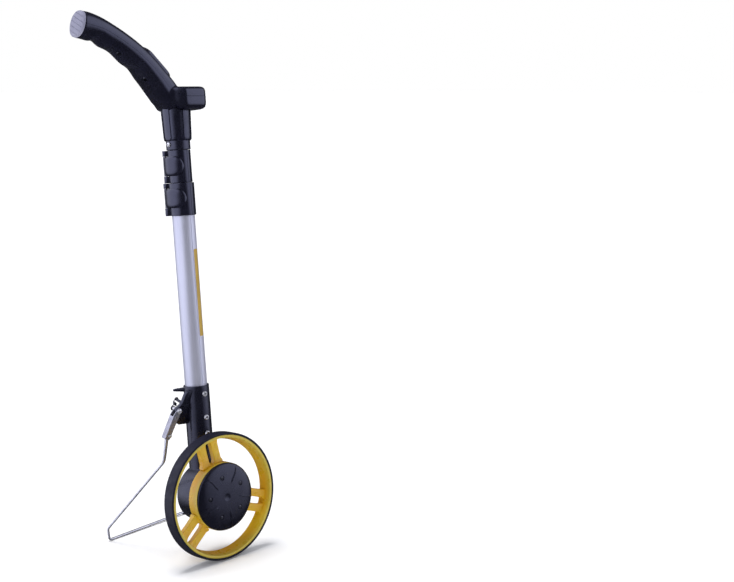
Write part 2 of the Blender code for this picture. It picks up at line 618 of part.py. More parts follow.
# ---- keypad on the sloping top, in its own frame: X towards the head, Z out of the surface ----
KEYPAD_AT = (-28.0, 0.0, 614.4)
KEYPAD_SLOPE = 46.0
keypad = empty("keypad_frame_axis", at(*KEYPAD_AT) @ Matrix.Rotation(math.radians(KEYPAD_SLOPE), 4, "Y"),
               handle_frame)
solid("keypad_frame", *frame_ring(rounded(26.6, 13.6, 13.0, 6), rounded(24.8, 10.8, 10.2, 6), -2.2, 1.4),
      paint=BLACK, parent=keypad)
boolean(upper, "DIFFERENCE", prism(rounded(26.9, 13.9, 13.3, 6), -7.0, 8.0, "Z"), "cut_keypad_room", keypad)
panel = solid("keypad_panel", *prism(rounded(24.5, 10.5, 9.9, 6), -1.6, 1.0, "Z"),
              paint=KEYS_YELLOW, parent=keypad)
KEY_AT = (20.0, 10.4, 0.8, -9.0, -19.4)
KEY_HALF = (2.8, 4.65)


def oval(half_x, half_y, x, steps=16):
    return [(x + half_x * math.cos(2 * math.pi * k / steps), half_y * math.sin(2 * math.pi * k / steps))
            for k in range(steps)]


boolean(panel, "DIFFERENCE", merge(*[prism(oval(KEY_HALF[0] + 0.3, KEY_HALF[1] + 0.3, x), -4, 4, "Z")
                                     for x in KEY_AT]), "cut_keys", keypad)
for k, x in enumerate(KEY_AT):
    top = [[(*p, h) for p in oval(KEY_HALF[0] - inset, KEY_HALF[1] - inset, x)]
           for h, inset in ((-1.4, 0.0), (2.0, 0.0), (2.5, 0.6))]
    solid(f"key_{k + 1}", *ring_stack(top), paint=KEY_RED if k == 4 else KEY_GREY, parent=keypad)
solid("key_board", *prism(rounded(24.0, 10.0, 6.0, 3), -4.6, -3.4, "Z"), paint=BOARD, parent=keypad)

# ---- grip: end cap, batteries, screws ----
cap_rings = [section(GRIP[0], inset, -back) for back, inset in
             ((3.4, 1.6), (2.6, 0.4), (GAP, 0.2), (GAP, WALL + 0.5), (-8.0, WALL + 1.1))]
cap_at = Vector((GRIP[0][0], 0, GRIP[0][1]))
cap_axis = empty("grip_end_axis", at(*cap_at), handle_frame)
points, faces = ring_stack(cap_rings)
solid("grip_end_cap", [Vector(p) - cap_at for p in points], faces, paint=CAP_GREY, parent=cap_axis)
battery_axis = Vector((39.0, 0, -17.5)).normalized()
for name, y in (("battery_left", 5.6), ("battery_right", -5.6)):
    start = Vector((-116.0, y, 654.8))
    solid(name, *sweep([start, start + battery_axis * 1.0, start + battery_axis * 1.01,
                        start + battery_axis * 43.5], [1.9, 1.9, 5.2, 5.2], 14),
          paint=BATTERY, parent=handle_frame)
for k, (x, z, slope) in enumerate(((-74.0, 635.0, 34.5), (-38.0, 604.5, 44.0))):
    slope = math.radians(slope)
    down = Vector((-math.sin(slope), -0.34, -math.cos(slope))).normalized()
    seat = Vector((x, -3.0, z)) + down * 12.2
    for points, radii, cutter in (
            ([seat + down * 14, seat], [3.2, 3.2], f"cut_grip_recess_{k + 1}"),
            ([seat + down * 2, seat - down * 11], [1.3, 1.3], f"cut_grip_hole_{k + 1}")):
        boolean(lower, "DIFFERENCE", sweep(points, radii, 16), cutter, handle_frame)
    solid(f"grip_screw_{k + 1}", *sweep(
        [seat + down * 2.1, seat + down * 1.6, seat + down * 0.3, seat + down * 0.29, seat - down * 7.0],
        [1.6, 2.7, 2.7, 1.0, 1.0], 14), paint=STEEL, parent=handle_frame)

# ---- kickstand (local frame: pivot along Y, straight down is -Z) ----
out = math.radians(STAND_OUT)
DOWN = Vector((-math.sin(out), 0, -math.cos(out)))
REAR = Vector((-math.cos(out), 0, math.sin(out)))


def on_channel(points):
    """Outline given as (towards the rear, down the leg), placed in the swing plane."""
    return [tuple((REAR * a + DOWN * b).xz) for a, b in points]


side_outline = on_channel([(-3.5, -1.5), (-1.9, -3.8), (1.9, -3.8), (6.0, 5.0), (6.0, 38.0), (-1.6, 38.0),
                           (-2.5, 16.0), (-3.5, 4.0)])
lever = solid("stand_lever", *prism(side_outline, -3.9, 3.9), paint=STEEL, parent=stand_axis)
inside = on_channel([(-7, -8), (9, -8), (9, 8), (5.0, 8), (5.0, 41), (-7, 41)])
boolean(lever, "DIFFERENCE", prism(inside, -2.8, 2.8), "cut_channel", stand_axis)
boolean(lever, "DIFFERENCE", disc(2.55, -9, 9, 20, "Y"), "cut_lever_eye", stand_axis)
ROD_PIN = DOWN * 33.0 + REAR * 0.4
boolean(lever, "DIFFERENCE", disc(1.25, -9, 9, 12, "Y", tuple(ROD_PIN.xz)), "cut_lever_pin", stand_axis)
solid("stand_pivot_pin", *lathe([
    (0, -5.8), (2.2, -5.7), (3.2, -5.0), (3.2, -4.2), (2.45, -4.2), (2.45, 10.4), (1.9, 11.0), (0, 11.0)],
    20, "Y"), paint=STEEL, parent=stand_axis)
solid("stand_rod_pin", *lathe([
    (0, -5.7), (1.7, -5.5), (2.4, -4.8), (2.4, -4.2), (1.2, -4.2), (1.2, 4.5), (0, 4.5)],
    12, "Y", tuple(ROD_PIN.xz)), paint=STEEL, parent=stand_axis)
to_stand = STAND.inverted()
to_unit = UNIT.inverted()


def floor_point(x, y, z):
    return (to_stand @ to_unit @ Vector(((x - ORIGIN[0]) * MM, (y - ORIGIN[1]) * MM, z * MM))) / MM


def unit_point(x, y, z):
    return (to_stand @ Vector((x * MM, y * MM, z * MM))) / MM


heel = floor_point(*FOOT_START, FOOT_WIRE_R)
toe = floor_point(*FOOT_END, FOOT_END_RISE)
ankle = floor_point(FOOT_START[0] - 0.6, FOOT_START[1] + 1.6, 16.5)
bend = unit_point(-45.0, 59.6, 125.2)
rod_top = DOWN * 22.0 + REAR * 1.4
rod_mid = DOWN * 38.5 + REAR * 0.1
along = (toe - heel).normalized()
rise = (ankle - heel).normalized()
leg = (ankle - bend).normalized()
path = [rod_top, rod_mid, rod_mid + (bend - rod_mid) * 0.9, bend + leg * 2.5,
        ankle - leg * 4.0, ankle - leg * 1.0 - rise * 0.6, ankle - rise * 4.0,
        heel + rise * 3.5, heel + rise * 0.9 + along * 0.9, heel + along * 3.5, toe]
rod = solid("stand_rod", *sweep(path, [2.4, 2.4, 2.0, 1.6, 1.5, 1.5, 1.5, 1.5, 1.55, 1.6, 1.6], 10),
            paint=STEEL, parent=stand_axis)
boolean(rod, "DIFFERENCE", disc(1.25, -9, 9, 12, "Y", tuple(ROD_PIN.xz)), "cut_rod_pin", stand_axis)

# Rubber tip on the wire's end, with a level underside.
level = (floor_point(*FOOT_END, 0) - floor_point(*FOOT_START, 0)).normalized()
upright = (floor_point(0, 0, 1) - floor_point(0, 0, 0)).normalized()
across = level.cross(upright)
tip_outline = ((-2.4, -FOOT_END_RISE), (2.4, -FOOT_END_RISE), (3.0, -1.2), (2.4, 1.4), (1.2, 2.3),
               (-1.2, 2.3), (-2.4, 1.4), (-3.0, -1.2))
foot_tip = solid("foot_tip", *ring_stack([[tuple(toe + level * s + across * a + upright * b)
                                           for a, b in tip_outline] for s in (-7.0, 1.6)]),
                 paint=TYRE, parent=stand_axis)
boolean(foot_tip, "DIFFERENCE", sweep([toe - along * 14, toe + along * 0.05], [1.85, 1.85], 10),
        "cut_tip_bore", stand_axis)

# Tension spring from the post to the far end of the pivot pin, with a hook at each end.
TOP_Y, LOW_Y, COIL_R, TURNS, PER_TURN = 12.0, 9.2, 2.2, 3, 8
to_pin = -POST.normalized()
aside = Vector((to_pin.z, 0, -to_pin.x))
coil = [POST + Vector((2.5 * math.sin(t), TOP_Y, 2.5 * math.cos(t)))
        for t in (math.radians(150 - 40 * k) for k in range(7))]
for k in range(TURNS * PER_TURN + 1):
    t = 2 * math.pi * k / PER_TURN
    done = k / (TURNS * PER_TURN)
    middle = POST + to_pin * (3.6 + 3.4 * done) + Vector((0, TOP_Y + (LOW_Y - TOP_Y) * done, 0))
    coil.append(middle + aside * (COIL_R * math.cos(t)) + Vector((0, COIL_R * math.sin(t), 0)))
coil += [Vector((3.15 * math.sin(t), LOW_Y, 3.15 * math.cos(t)))
         for t in (math.radians(-40 - 30 * k) for k in range(7))]
solid("stand_spring", *sweep(coil, [0.55] * len(coil), 6), paint=DARK_STEEL, parent=stand_axis)
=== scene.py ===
"""Looks of a small measuring wheel with a telescopic pole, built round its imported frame.

Lengths are millimetres in the unit's own upright frame: X forward, Y to the left, Z up,
Y = 0 at the outer face of the wheel. UNIT then leans the whole unit on its stand.
"""

import json
from math import copysign, cos, pi, radians, sin, sqrt

import bmesh
import bpy
from mathutils import Matrix, Vector

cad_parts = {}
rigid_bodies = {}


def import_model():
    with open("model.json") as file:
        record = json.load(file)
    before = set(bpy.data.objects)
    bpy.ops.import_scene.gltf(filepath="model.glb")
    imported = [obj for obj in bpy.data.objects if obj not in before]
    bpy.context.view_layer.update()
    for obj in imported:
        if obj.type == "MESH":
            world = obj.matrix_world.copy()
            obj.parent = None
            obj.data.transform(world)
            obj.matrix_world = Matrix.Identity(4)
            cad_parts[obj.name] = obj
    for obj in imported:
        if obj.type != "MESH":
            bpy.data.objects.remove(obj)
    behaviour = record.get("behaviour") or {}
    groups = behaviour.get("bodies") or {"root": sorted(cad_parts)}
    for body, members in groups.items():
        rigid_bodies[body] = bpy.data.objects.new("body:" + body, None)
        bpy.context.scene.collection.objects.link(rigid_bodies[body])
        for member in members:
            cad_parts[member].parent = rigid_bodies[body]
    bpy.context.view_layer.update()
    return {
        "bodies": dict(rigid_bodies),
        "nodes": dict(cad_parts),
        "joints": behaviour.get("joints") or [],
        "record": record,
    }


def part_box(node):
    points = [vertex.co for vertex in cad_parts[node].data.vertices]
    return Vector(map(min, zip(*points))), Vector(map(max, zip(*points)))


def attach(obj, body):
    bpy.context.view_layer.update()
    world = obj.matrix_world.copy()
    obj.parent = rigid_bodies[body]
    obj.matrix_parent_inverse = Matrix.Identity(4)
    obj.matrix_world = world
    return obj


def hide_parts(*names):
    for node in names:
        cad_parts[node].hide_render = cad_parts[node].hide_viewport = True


for old in list(bpy.data.objects):
    bpy.data.objects.remove(old)
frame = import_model()
scene = bpy.context.scene
SLOT_OF = {part["node"]: part["material_slot"] for part in frame["record"]["subparts"]}
BODY_OF = {node: body for body, nodes in frame["record"]["behaviour"]["bodies"].items() for node in nodes}

# ---- driving dimensions, the same as the frame's (mm, degrees) ----
LEAN = 4.8
ORIGIN = (-27.206, 88.9965)
WHEEL_R = 79.6
TYRE_W = 17.0
TYRE_IN_R = 77.0
RIM_LIP_R = 76.7
RIM_FAR_R = 70.0
RIM_NEAR_R = 73.6
HUB_R = 42.5
CAP_R = 42.3
CAP_RISE = 5.6
SPOKE_ANGLES = (-19.0, 101.0, 221.0)
BAR_W, BAR_GAP = 10.2, 8.4
SCREW_CIRCLE_R = 25.7
AXLE_R = 4.0
DRUM_R = 36.0
DRUM_Y0, DRUM_Y1 = 20.0, 50.0
POLE_Y = 42.25
SLEEVE_R, SLEEVE_BORE = 16.0, 14.0
SLEEVE_TOP, SLEEVE_FLOOR = 217.0, 120.0
SCREW_Z = (206.8, 177.1, 156.9)
LOWER_TUBE = (13.9, 12.5)
MIDDLE_TUBE = (12.1, 10.8)
UPPER_TUBE = (10.4, 9.2)
LOWER_TUBE_Z = (120.3, 446.0)
MIDDLE_TUBE_Z = (150.0, 487.0)
UPPER_TUBE_Z = (160.0, 566.0)
GROOVE_Z = (218.5, 430.0)
LABEL_Z = (279.0, 387.5)
LABEL_ARC = (96.0, 124.0)
LOWER_COLLAR_Z = (429.5, 469.4)
UPPER_COLLAR_Z = (469.7, 509.4)
COLLAR_R = (15.9, 14.3)
LEVER_ARC = (-38.0, 71.0)
LEVER_SPAN = ((439.3, 462.8), (478.4, 502.2))
SLOT_TURN = -66.0
NECK_Z = (509.7, 522.0, 572.0)
NECK_SCREW_TURN = -85.0
NECK_SCREW_Z = 516.5
HEAD_FRONT = 28.2
HEAD_HALF_W = 32.0
BELLY = 1.2
WALL = 2.4
DISPLAY_X = 11.6
KEYPAD_AT = (-28.0, 0.0, 614.4)
KEYPAD_SLOPE = 46.0
HINGE = (-31.6, 41.5, 190.0)
HINGE_TILT = 15.7
STAND_OUT = 19.0
FOOT_WIRE_R = 1.6
FOOT_START = (-69.5, 160.7)
FOOT_END = (66.9, 176.6)
FOOT_END_RISE = 3.0
GAP = 0.3
MM = 0.001


# ---- frames ----
def at(x, y, z):
    return Matrix.Translation((x * MM, y * MM, z * MM))


def lean_matrix():
    edge = at(0, TYRE_W, 0)
    to_origin = Matrix.Translation((-ORIGIN[0] * MM, -ORIGIN[1] * MM, -0.00016))
    return to_origin @ edge @ Matrix.Rotation(-radians(LEAN), 4, "X") @ edge.inverted()


UNIT = lean_matrix()
WHEEL = UNIT @ at(0, 0, WHEEL_R)
POLE = UNIT @ at(0, POLE_Y, 0)
STAND_LOCAL = at(*HINGE) @ Matrix.Rotation(radians(HINGE_TILT), 4, "X")
STAND = UNIT @ STAND_LOCAL
KEYPAD = POLE @ at(*KEYPAD_AT) @ Matrix.Rotation(radians(KEYPAD_SLOPE), 4, "Y")


# ---- camera, floor and light ----
def add_node(tree, kind, inputs, **settings):
    """New shader node; each input gets a value or a link from another node's output."""
    node = tree.nodes.new("ShaderNode" + kind)
    for name, value in settings.items():
        setattr(node, name, value)
    for socket, value in inputs.items():
        if isinstance(value, bpy.types.NodeSocket):
            tree.links.new(value, node.inputs[socket])
        else:
            node.inputs[socket].default_value = value
    return node


def make_camera():
    eye = bpy.data.objects.new("camera", bpy.data.cameras.new("camera"))
    scene.collection.objects.link(eye)
    eye.location = (-0.9031, -1.2657, 0.5881)
    eye.rotation_euler = (radians(80.546), 0, radians(-44.902))
    eye.data.lens, eye.data.sensor_width = 61.57, 36.0
    scene.camera = eye


def make_floor():
    """Pale paper that lights the object from below but isn't mirrored in its gloss."""
    mesh = bpy.data.meshes.new("floor")
    reach, height = 60.0, -0.0002
    corners = [(x * reach, y * reach, height) for x, y in ((-1, -1), (1, -1), (1, 1), (-1, 1))]
    mesh.from_pydata(corners, [], [(0, 1, 2, 3)])
    floor = bpy.data.objects.new("floor", mesh)
    scene.collection.objects.link(floor)
    paper = bpy.data.materials.new("floor_paper")
    paper.use_nodes = True
    shader = paper.node_tree.nodes["Principled BSDF"]
    for socket, value in (("Base Color", (0.95, 0.95, 0.95, 1)), ("Roughness", 0.9),
                          ("Specular IOR Level", 0.1), ("Emission Color", (1, 1, 1, 1)),
                          ("Emission Strength", 0.08)):
        shader.inputs[socket].default_value = value
    mesh.materials.append(paper)
    floor.visible_glossy = False


def make_world():
    """White to the camera, soft fill for matt surfaces, and two soft panels for gloss to mirror."""
    world = bpy.data.worlds.new("studio")
    world.use_nodes = True
    scene.world = world
    tree = world.node_tree
    sky = add_node(tree, "TexCoord", {}).outputs["Generated"]

    def background(colour, strength):
        return add_node(tree, "Background", {"Color": (*colour, 1), "Strength": strength}).outputs[0]

    def panel(azimuth, rise, start, full, strength):
        """A round panel in that direction; start and full are cosines of its soft edge."""
        t = radians(azimuth)
        middle = Vector((cos(t), sin(t), rise)).normalized()
        near = add_node(tree, "VectorMath", {0: sky, 1: middle}, operation="DOT_PRODUCT").outputs["Value"]
        ramp = {"Value": near, "From Min": start, "From Max": full, "To Max": strength}
        return add_node(tree, "MapRange", ramp, interpolation_type="SMOOTHSTEP").outputs["Result"]

    glow = 0.07
    for shape in ((154.0, 0.45, 0.34, 0.84, 1.90), (318.0, 0.35, 0.74, 0.95, 1.50)):
        glow = add_node(tree, "Math", {0: glow, 1: panel(*shape)}, operation="ADD").outputs[0]
    path = add_node(tree, "LightPath", {})
    mixed = background((0.92, 0.93, 1.0), 0.50)
    for ray, other in (("Is Glossy Ray", background((0.84, 0.86, 1.0), glow)),
                       ("Is Camera Ray", background((1, 1, 1), 1.0))):
        mixed = add_node(tree, "MixShader", {0: path.outputs[ray], 1: mixed, 2: other}).outputs[0]
    tree.links.new(mixed, tree.nodes["World Output"].inputs["Surface"])


def make_sun():
    sun = bpy.data.objects.new("key_sun", bpy.data.lights.new("key_sun", "SUN"))
    sun.data.energy, sun.data.angle = 2.2, radians(24)
    scene.collection.objects.link(sun)
    sun.visible_glossy = False
    sun.rotation_euler = Vector((0.16, -0.30, -2.4)).to_track_quat("-Z", "Y").to_euler()


make_camera()
make_floor()
make_world()
make_sun()
scene.view_settings.view_transform = "Standard"
scene.view_settings.look = "None"

# ---- materials ----
COLOUR_A, COLOUR_B, MIXED_COLOUR = 6, 7, 2      # places of a Mix node's colour sockets


class Paint:
    """A Principled material with procedural detail laid out in the object's own space."""

    def __init__(self, name, colour, metallic=0.0, roughness=0.5, sockets=()):
        self.made = bpy.data.materials.new(name)
        self.made.use_nodes = True
        self.tree = self.made.node_tree
        self.inputs = self.tree.nodes["Principled BSDF"].inputs
        self.colour = (*colour, 1.0)
        basics = (("Base Color", self.colour), ("Metallic", metallic), ("Roughness", roughness))
        for socket, value in (*basics, *sockets):
            self.inputs[socket].default_value = value
        self.coords = self.add("TexCoord", {}).outputs["Object"]
        self.normal = None

    def add(self, kind, inputs, **settings):
        return add_node(self.tree, kind, inputs, **settings)

    def drive(self, socket, output):
        self.tree.links.new(output, self.inputs[socket])

    def mapped(self, scale, turn=(0, 0, 0)):
        """Object space, turned (degrees) and then scaled along each axis, in 1/m."""
        frame = {"Vector": self.coords, "Rotation": [radians(v) for v in turn],
                 "Scale": [1.0 / v for v in scale]}
        return self.add("Mapping", frame, vector_type="TEXTURE").outputs["Vector"]

    def noise(self, scale, detail=3.0, turn=(0, 0, 0)):
        stretched = isinstance(scale, tuple)
        return self.add("TexNoise", {"Vector": self.mapped(scale, turn) if stretched else self.coords,
                                     "Scale": 1.0 if stretched else scale, "Detail": detail}).outputs["Fac"]

    def cells(self, scale):
        return self.add("TexVoronoi", {"Vector": self.coords, "Scale": scale}).outputs["Distance"]

    def span(self, value, low, high, to_low=0.0, to_high=1.0):
        return self.add("MapRange", {"Value": value, "From Min": low, "From Max": high,
                                     "To Min": to_low, "To Max": to_high}).outputs["Result"]

    def blend(self, factor, first, second):
        return self.add("Mix", {"Factor": factor, COLOUR_A: first, COLOUR_B: second},
                        data_type="RGBA").outputs[MIXED_COLOUR]

    def vary_colour(self, value, other, low=0.35, high=0.65):
        """Blend from the base colour, or what is already linked, to another colour."""
        base = self.inputs["Base Color"]
        first = base.links[0].from_socket if base.is_linked else self.colour
        self.drive("Base Color", self.blend(self.span(value, low, high), first, (*other, 1.0)))

    def vary_roughness(self, value, low, high):
        self.drive("Roughness", self.span(value, 0.3, 0.7, low, high))

    def bump(self, value, height, strength=1.0):
        """Relief of that height in millimetres, on top of any relief before it."""
        under = {"Normal": self.normal} if self.normal else {}
        self.normal = self.add("Bump", {"Height": value, "Strength": strength, "Distance": height * MM,
                                        **under}).outputs["Normal"]
        self.drive("Normal", self.normal)


def moulded(name, colour, other, roughness, grain=0.012, sockets=()):
    """Moulded plastic: fine spark grain, faint flow marks and handling gloss."""
    paint = Paint(name, colour, 0.0, roughness, sockets)
    paint.vary_colour(paint.noise(35.0, 4.0), other)
    paint.vary_roughness(paint.noise(90.0, 5.0), roughness - 0.07, roughness + 0.08)
    paint.bump(paint.noise(2600.0, 2.0), grain, 0.6)
    paint.bump(paint.noise(60.0, 2.0), 0.10, 0.25)
    return paint


def bright_metal(name, colour, roughness, along=(0, 0, 0), streak=(900.0, 900.0, 40.0), depth=0.004,
                 metallic=1.0):
    """Plated or drawn metal with fine lines along one direction."""
    paint = Paint(name, colour, metallic, roughness)
    lines = paint.noise(streak, 4.0, along)
    paint.vary_colour(paint.noise(140.0, 4.0), [c * 0.72 for c in colour])
    paint.vary_roughness(lines, roughness - 0.06, roughness + 0.10)
    paint.bump(lines, depth, 0.5)
    return paint


def yellow_plastic():
    """Gloss yellow: warmer in random patches, with a painted highlight that turns it greener and paler near
    the outer face.
    """
    paint = moulded("yellow_gloss", (0.74, 0.48, 0.016), (0.76, 0.42, 0.012), 0.30, 0.006,
                    (("Specular IOR Level", 0.45), ("Coat Weight", 0.15), ("Coat Roughness", 0.2)))
    upright = paint.add("SeparateXYZ", {0: paint.mapped((1.0, 1.0, 1.0), (-LEAN, 0, 0))})
    near = -0.08874     # Y of the wheel's outer face in these turned coordinates, m
    # Painted highlight: greener and paler over the last 9 mm before the wheel's outer face, where the lip
    # catches the light
    paint.vary_colour(upright.outputs["Y"], (0.60, 0.47, 0.060), near + 0.009, near)
    paint.vary_colour(paint.noise(300.0, 5.0), (0.66, 0.40, 0.012), 0.60, 0.85)
    return paint


def satin_aluminium():
    paint = Paint("satin_anodised", (0.63, 0.64, 0.77), 0.46, 0.40)
    lines = paint.noise((5200.0, 5200.0, 14.0), 3.0, (-LEAN, 0, 0))
    paint.vary_colour(paint.noise((260.0, 260.0, 9.0), 3.0, (-LEAN, 0, 0)), (0.58, 0.59, 0.71))
    paint.vary_roughness(lines, 0.36, 0.46)
    paint.bump(lines, 0.006, 0.5)
    return paint


def tyre_rubber():
    paint = Paint("tyre_rubber_dark", (0.008, 0.008, 0.018), 0.0, 0.62, (("Specular IOR Level", 0.3),))
    paint.vary_colour(paint.noise(55.0, 5.0), (0.013, 0.013, 0.026))
    paint.vary_colour(paint.noise(900.0, 4.0), (0.05, 0.05, 0.066), 0.62, 0.80)
    paint.vary_roughness(paint.noise(120.0, 5.0), 0.52, 0.74)
    paint.bump(paint.cells(1500.0), 0.05, 0.5)
    paint.bump(paint.noise(420.0, 4.0), 0.06, 0.5)
    return paint


def lcd_screen():
    """Backlit screen: brighter and greener near the lamp at its right-hand end."""
    paint = Paint("lcd_backlit", (0.02, 0.16, 0.75), 0.0, 0.22, (("Emission Strength", 0.75),))
    near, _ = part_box("lcd_module")
    across = paint.add("SeparateXYZ", {0: paint.coords}).outputs["Y"]
    lamp = paint.span(across, near.y + 0.016, near.y + 0.001)
    cloud = paint.span(paint.noise(120.0, 3.0), 0.2, 0.8, 0.55, 1.25)
    cloudy = paint.add("Math", {0: lamp, 1: cloud}, operation="MULTIPLY").outputs[0]
    glow = paint.blend(cloudy, (0.010, 0.145, 0.90, 1), (0.16, 0.62, 1.0, 1))
    paint.drive("Base Color", glow)
    paint.drive("Emission Color", glow)
    paint.vary_roughness(paint.noise(200.0), 0.18, 0.3)
    return paint


BLACK = moulded("black_moulding", (0.0050, 0.0050, 0.0115), (0.008, 0.008, 0.018), 0.22, 0.006,
                (("Specular IOR Level", 0.85), ("Specular Tint", (0.72, 0.74, 1.0, 1))))
BLACK_SATIN = moulded("black_satin_moulding", (0.0050, 0.0050, 0.0105), (0.008, 0.008, 0.016), 0.24, 0.010,
                      (("Specular IOR Level", 0.60), ("Specular Tint", (0.72, 0.74, 1.0, 1))))
TYRE = tyre_rubber()
YELLOW = yellow_plastic()
ALUMINIUM = satin_aluminium()
STEEL = bright_metal("bright_zinc", (0.80, 0.80, 0.84), 0.25, metallic=0.72)
CHANNEL = bright_metal("channel_zinc", (0.40, 0.40, 0.47), 0.26, metallic=0.62)
CHROME = bright_metal("bright_wire", (0.70, 0.70, 0.76), 0.16, (0, 0, 0), (500.0, 500.0, 500.0), 0.006, 0.8)
# Blackened steel; on the grip screw heads and the bracket rivet plugs it also serves as painted shade
DARK_STEEL_AND_SHADE = bright_metal("blackened_steel_and_shade", (0.10, 0.10, 0.12), 0.34)
CAP_GREY = moulded("grip_cap_grey", (0.35, 0.35, 0.46), (0.28, 0.28, 0.39), 0.5, 0.02)
LABEL = moulded("label_film", (0.57, 0.37, 0.055), (0.50, 0.33, 0.060), 0.42, 0.006)
KEYS_YELLOW = moulded("keypad_film", (0.86, 0.74, 0.004), (0.80, 0.68, 0.004), 0.36, 0.008)
KEY_GREY = moulded("key_rubber_grey", (0.62, 0.62, 0.64), (0.54, 0.54, 0.56), 0.5, 0.012)
KEY_RED = moulded("key_rubber_red", (0.46, 0.020, 0.030), (0.36, 0.015, 0.025), 0.48, 0.012)
BOARD = moulded("solder_resist", (0.015, 0.11, 0.045), (0.012, 0.075, 0.03), 0.4, 0.015)
BATTERY = moulded("battery_sleeve_blue", (0.05, 0.13, 0.36), (0.04, 0.10, 0.28), 0.35, 0.005)
MAGNET = moulded("sintered_magnet", (0.06, 0.06, 0.065), (0.09, 0.09, 0.09), 0.6, 0.03)
INK = moulded("lcd_segment", (0.004, 0.020, 0.10), (0.006, 0.03, 0.13), 0.4, 0.002)
SCREEN = lcd_screen()
WINDOW = Paint("clear_window", (0.92, 0.95, 1.0), 0.0, 0.04,
               (("Transmission Weight", 1.0), ("IOR", 1.45)))
WINDOW.vary_roughness(WINDOW.noise(150.0, 4.0), 0.02, 0.08)
WINDOW.bump(WINDOW.noise(40.0, 2.0), 0.02, 0.2)

CAD_PAINT = {
    "black_plastic": BLACK_SATIN, "tyre_rubber": TYRE, "yellow_plastic": YELLOW,
    "satin_aluminium": ALUMINIUM, "label_vinyl": LABEL, "bright_steel": STEEL,
    "dark_steel": DARK_STEEL_AND_SHADE, "circuit_board": BOARD, "display_window": WINDOW,
    "display_screen": SCREEN, "grip_cap": CAP_GREY, "keypad_yellow": KEYS_YELLOW,
    "key_grey": KEY_GREY, "key_red": KEY_RED, "battery_sleeve": BATTERY, "magnet": MAGNET,
}
for name, node in frame["nodes"].items():
    node.data.materials.clear()
    node.data.materials.append(CAD_PAINT[SLOT_OF[name]].made)


# ---- mesh building ----
def solid(name, shape, place=UNIT):
    """One closed mesh; points in millimetres in the given frame, its object at the origin."""
    points, faces = shape
    mesh = bpy.data.meshes.new(name)
    build = bmesh.new()
    made = [build.verts.new(place @ (Vector(p) * MM)) for p in points]
    for face in faces:
        build.faces.new([made[i] for i in face])
    bmesh.ops.recalc_face_normals(build, faces=build.faces)
    build.to_mesh(mesh)
    build.free()
    obj = bpy.data.objects.new(name, mesh)
    scene.collection.objects.link(obj)
    return obj


def bake(obj):
    """Keep the mesh that an object's modifiers make."""
    graph = bpy.context.evaluated_depsgraph_get()
    mesh = bpy.data.meshes.new_from_object(obj.evaluated_get(graph))
    obj.modifiers.clear()
    obj.data = mesh
    return obj


def combine(obj, operation, *tools):
    """Join tool objects to a piece (UNION) or cut them out of it (DIFFERENCE)."""
    for tool in tools:
        step = obj.modifiers.new(operation, "BOOLEAN")
        step.operation, step.solver, step.object = operation, "EXACT", tool
        bake(obj)
        bpy.data.objects.remove(tool)
    return obj


def cut(obj, place, *shapes):
    """Cut shapes given in that frame out of a piece."""
    return combine(obj, "DIFFERENCE", *[solid("tool", shape, place) for shape in shapes])


def join(obj, place, *shapes):
    """Join shapes given in that frame to a piece."""
    return combine(obj, "UNION", *[solid("tool", shape, place) for shape in shapes])


def soften(obj, width, segments=3, angle=30.0):
    """Round the edges that are sharper than the angle."""
    step = obj.modifiers.new("soften", "BEVEL")
    step.width, step.segments = width * MM, segments
    step.limit_method, step.angle_limit = "ANGLE", radians(angle)
    return bake(obj)


def show(obj, paint, *nodes, body=None, sharp=35.0):
    """Paint a piece, let it ride on its body and show it in place of its CAD nodes."""
    obj.data.materials.clear()
    obj.data.materials.append(paint.made)
    obj.data.shade_smooth()
    obj.data.set_sharp_from_angle(angle=radians(sharp))
    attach(obj, body or BODY_OF[nodes[0]])
    if nodes:
        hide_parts(*nodes)
    return obj


def ring_stack(rings, closed=False):
    """Faces joining equal rings of points, capped at both ends unless closed on itself."""
    points = [p for ring in rings for p in ring]
    count, rows, faces = len(rings[0]), len(rings), []
    for row in range(rows if closed else rows - 1):
        a, b = row * count, ((row + 1) % rows) * count
        faces.extend((a + i, a + (i + 1) % count, b + (i + 1) % count, b + i) for i in range(count))
    if not closed:
        faces.append(tuple(range(count)))
        faces.append(tuple(range((rows - 1) * count, rows * count)))
    return points, faces


def rounded_loop(loop, radius, steps=4):
    """Round an outline's corners; radius is one number, or one for each corner."""
    made = []
    for i, corner in enumerate(loop):
        reach = radius[i] if isinstance(radius, (list, tuple)) else radius
        q = Vector(corner)
        to_last, to_next = Vector(loop[i - 1]) - q, Vector(loop[(i + 1) % len(loop)]) - q
        reach = min(reach, 0.48 * to_last.length, 0.48 * to_next.length)
        if reach < 1e-6:
            made.append(tuple(q))
            continue
        a, b = q + to_last.normalized() * reach, q + to_next.normalized() * reach
        for k in range(steps + 1):
            t = k / steps
            made.append(tuple(a * (1 - t) ** 2 + q * (2 * t * (1 - t)) + b * t ** 2))
    return made


def around(steps, phase=0.0):
    """Equal angles once round, starting at phase."""
    return [phase + 2 * pi * k / steps for k in range(steps)]


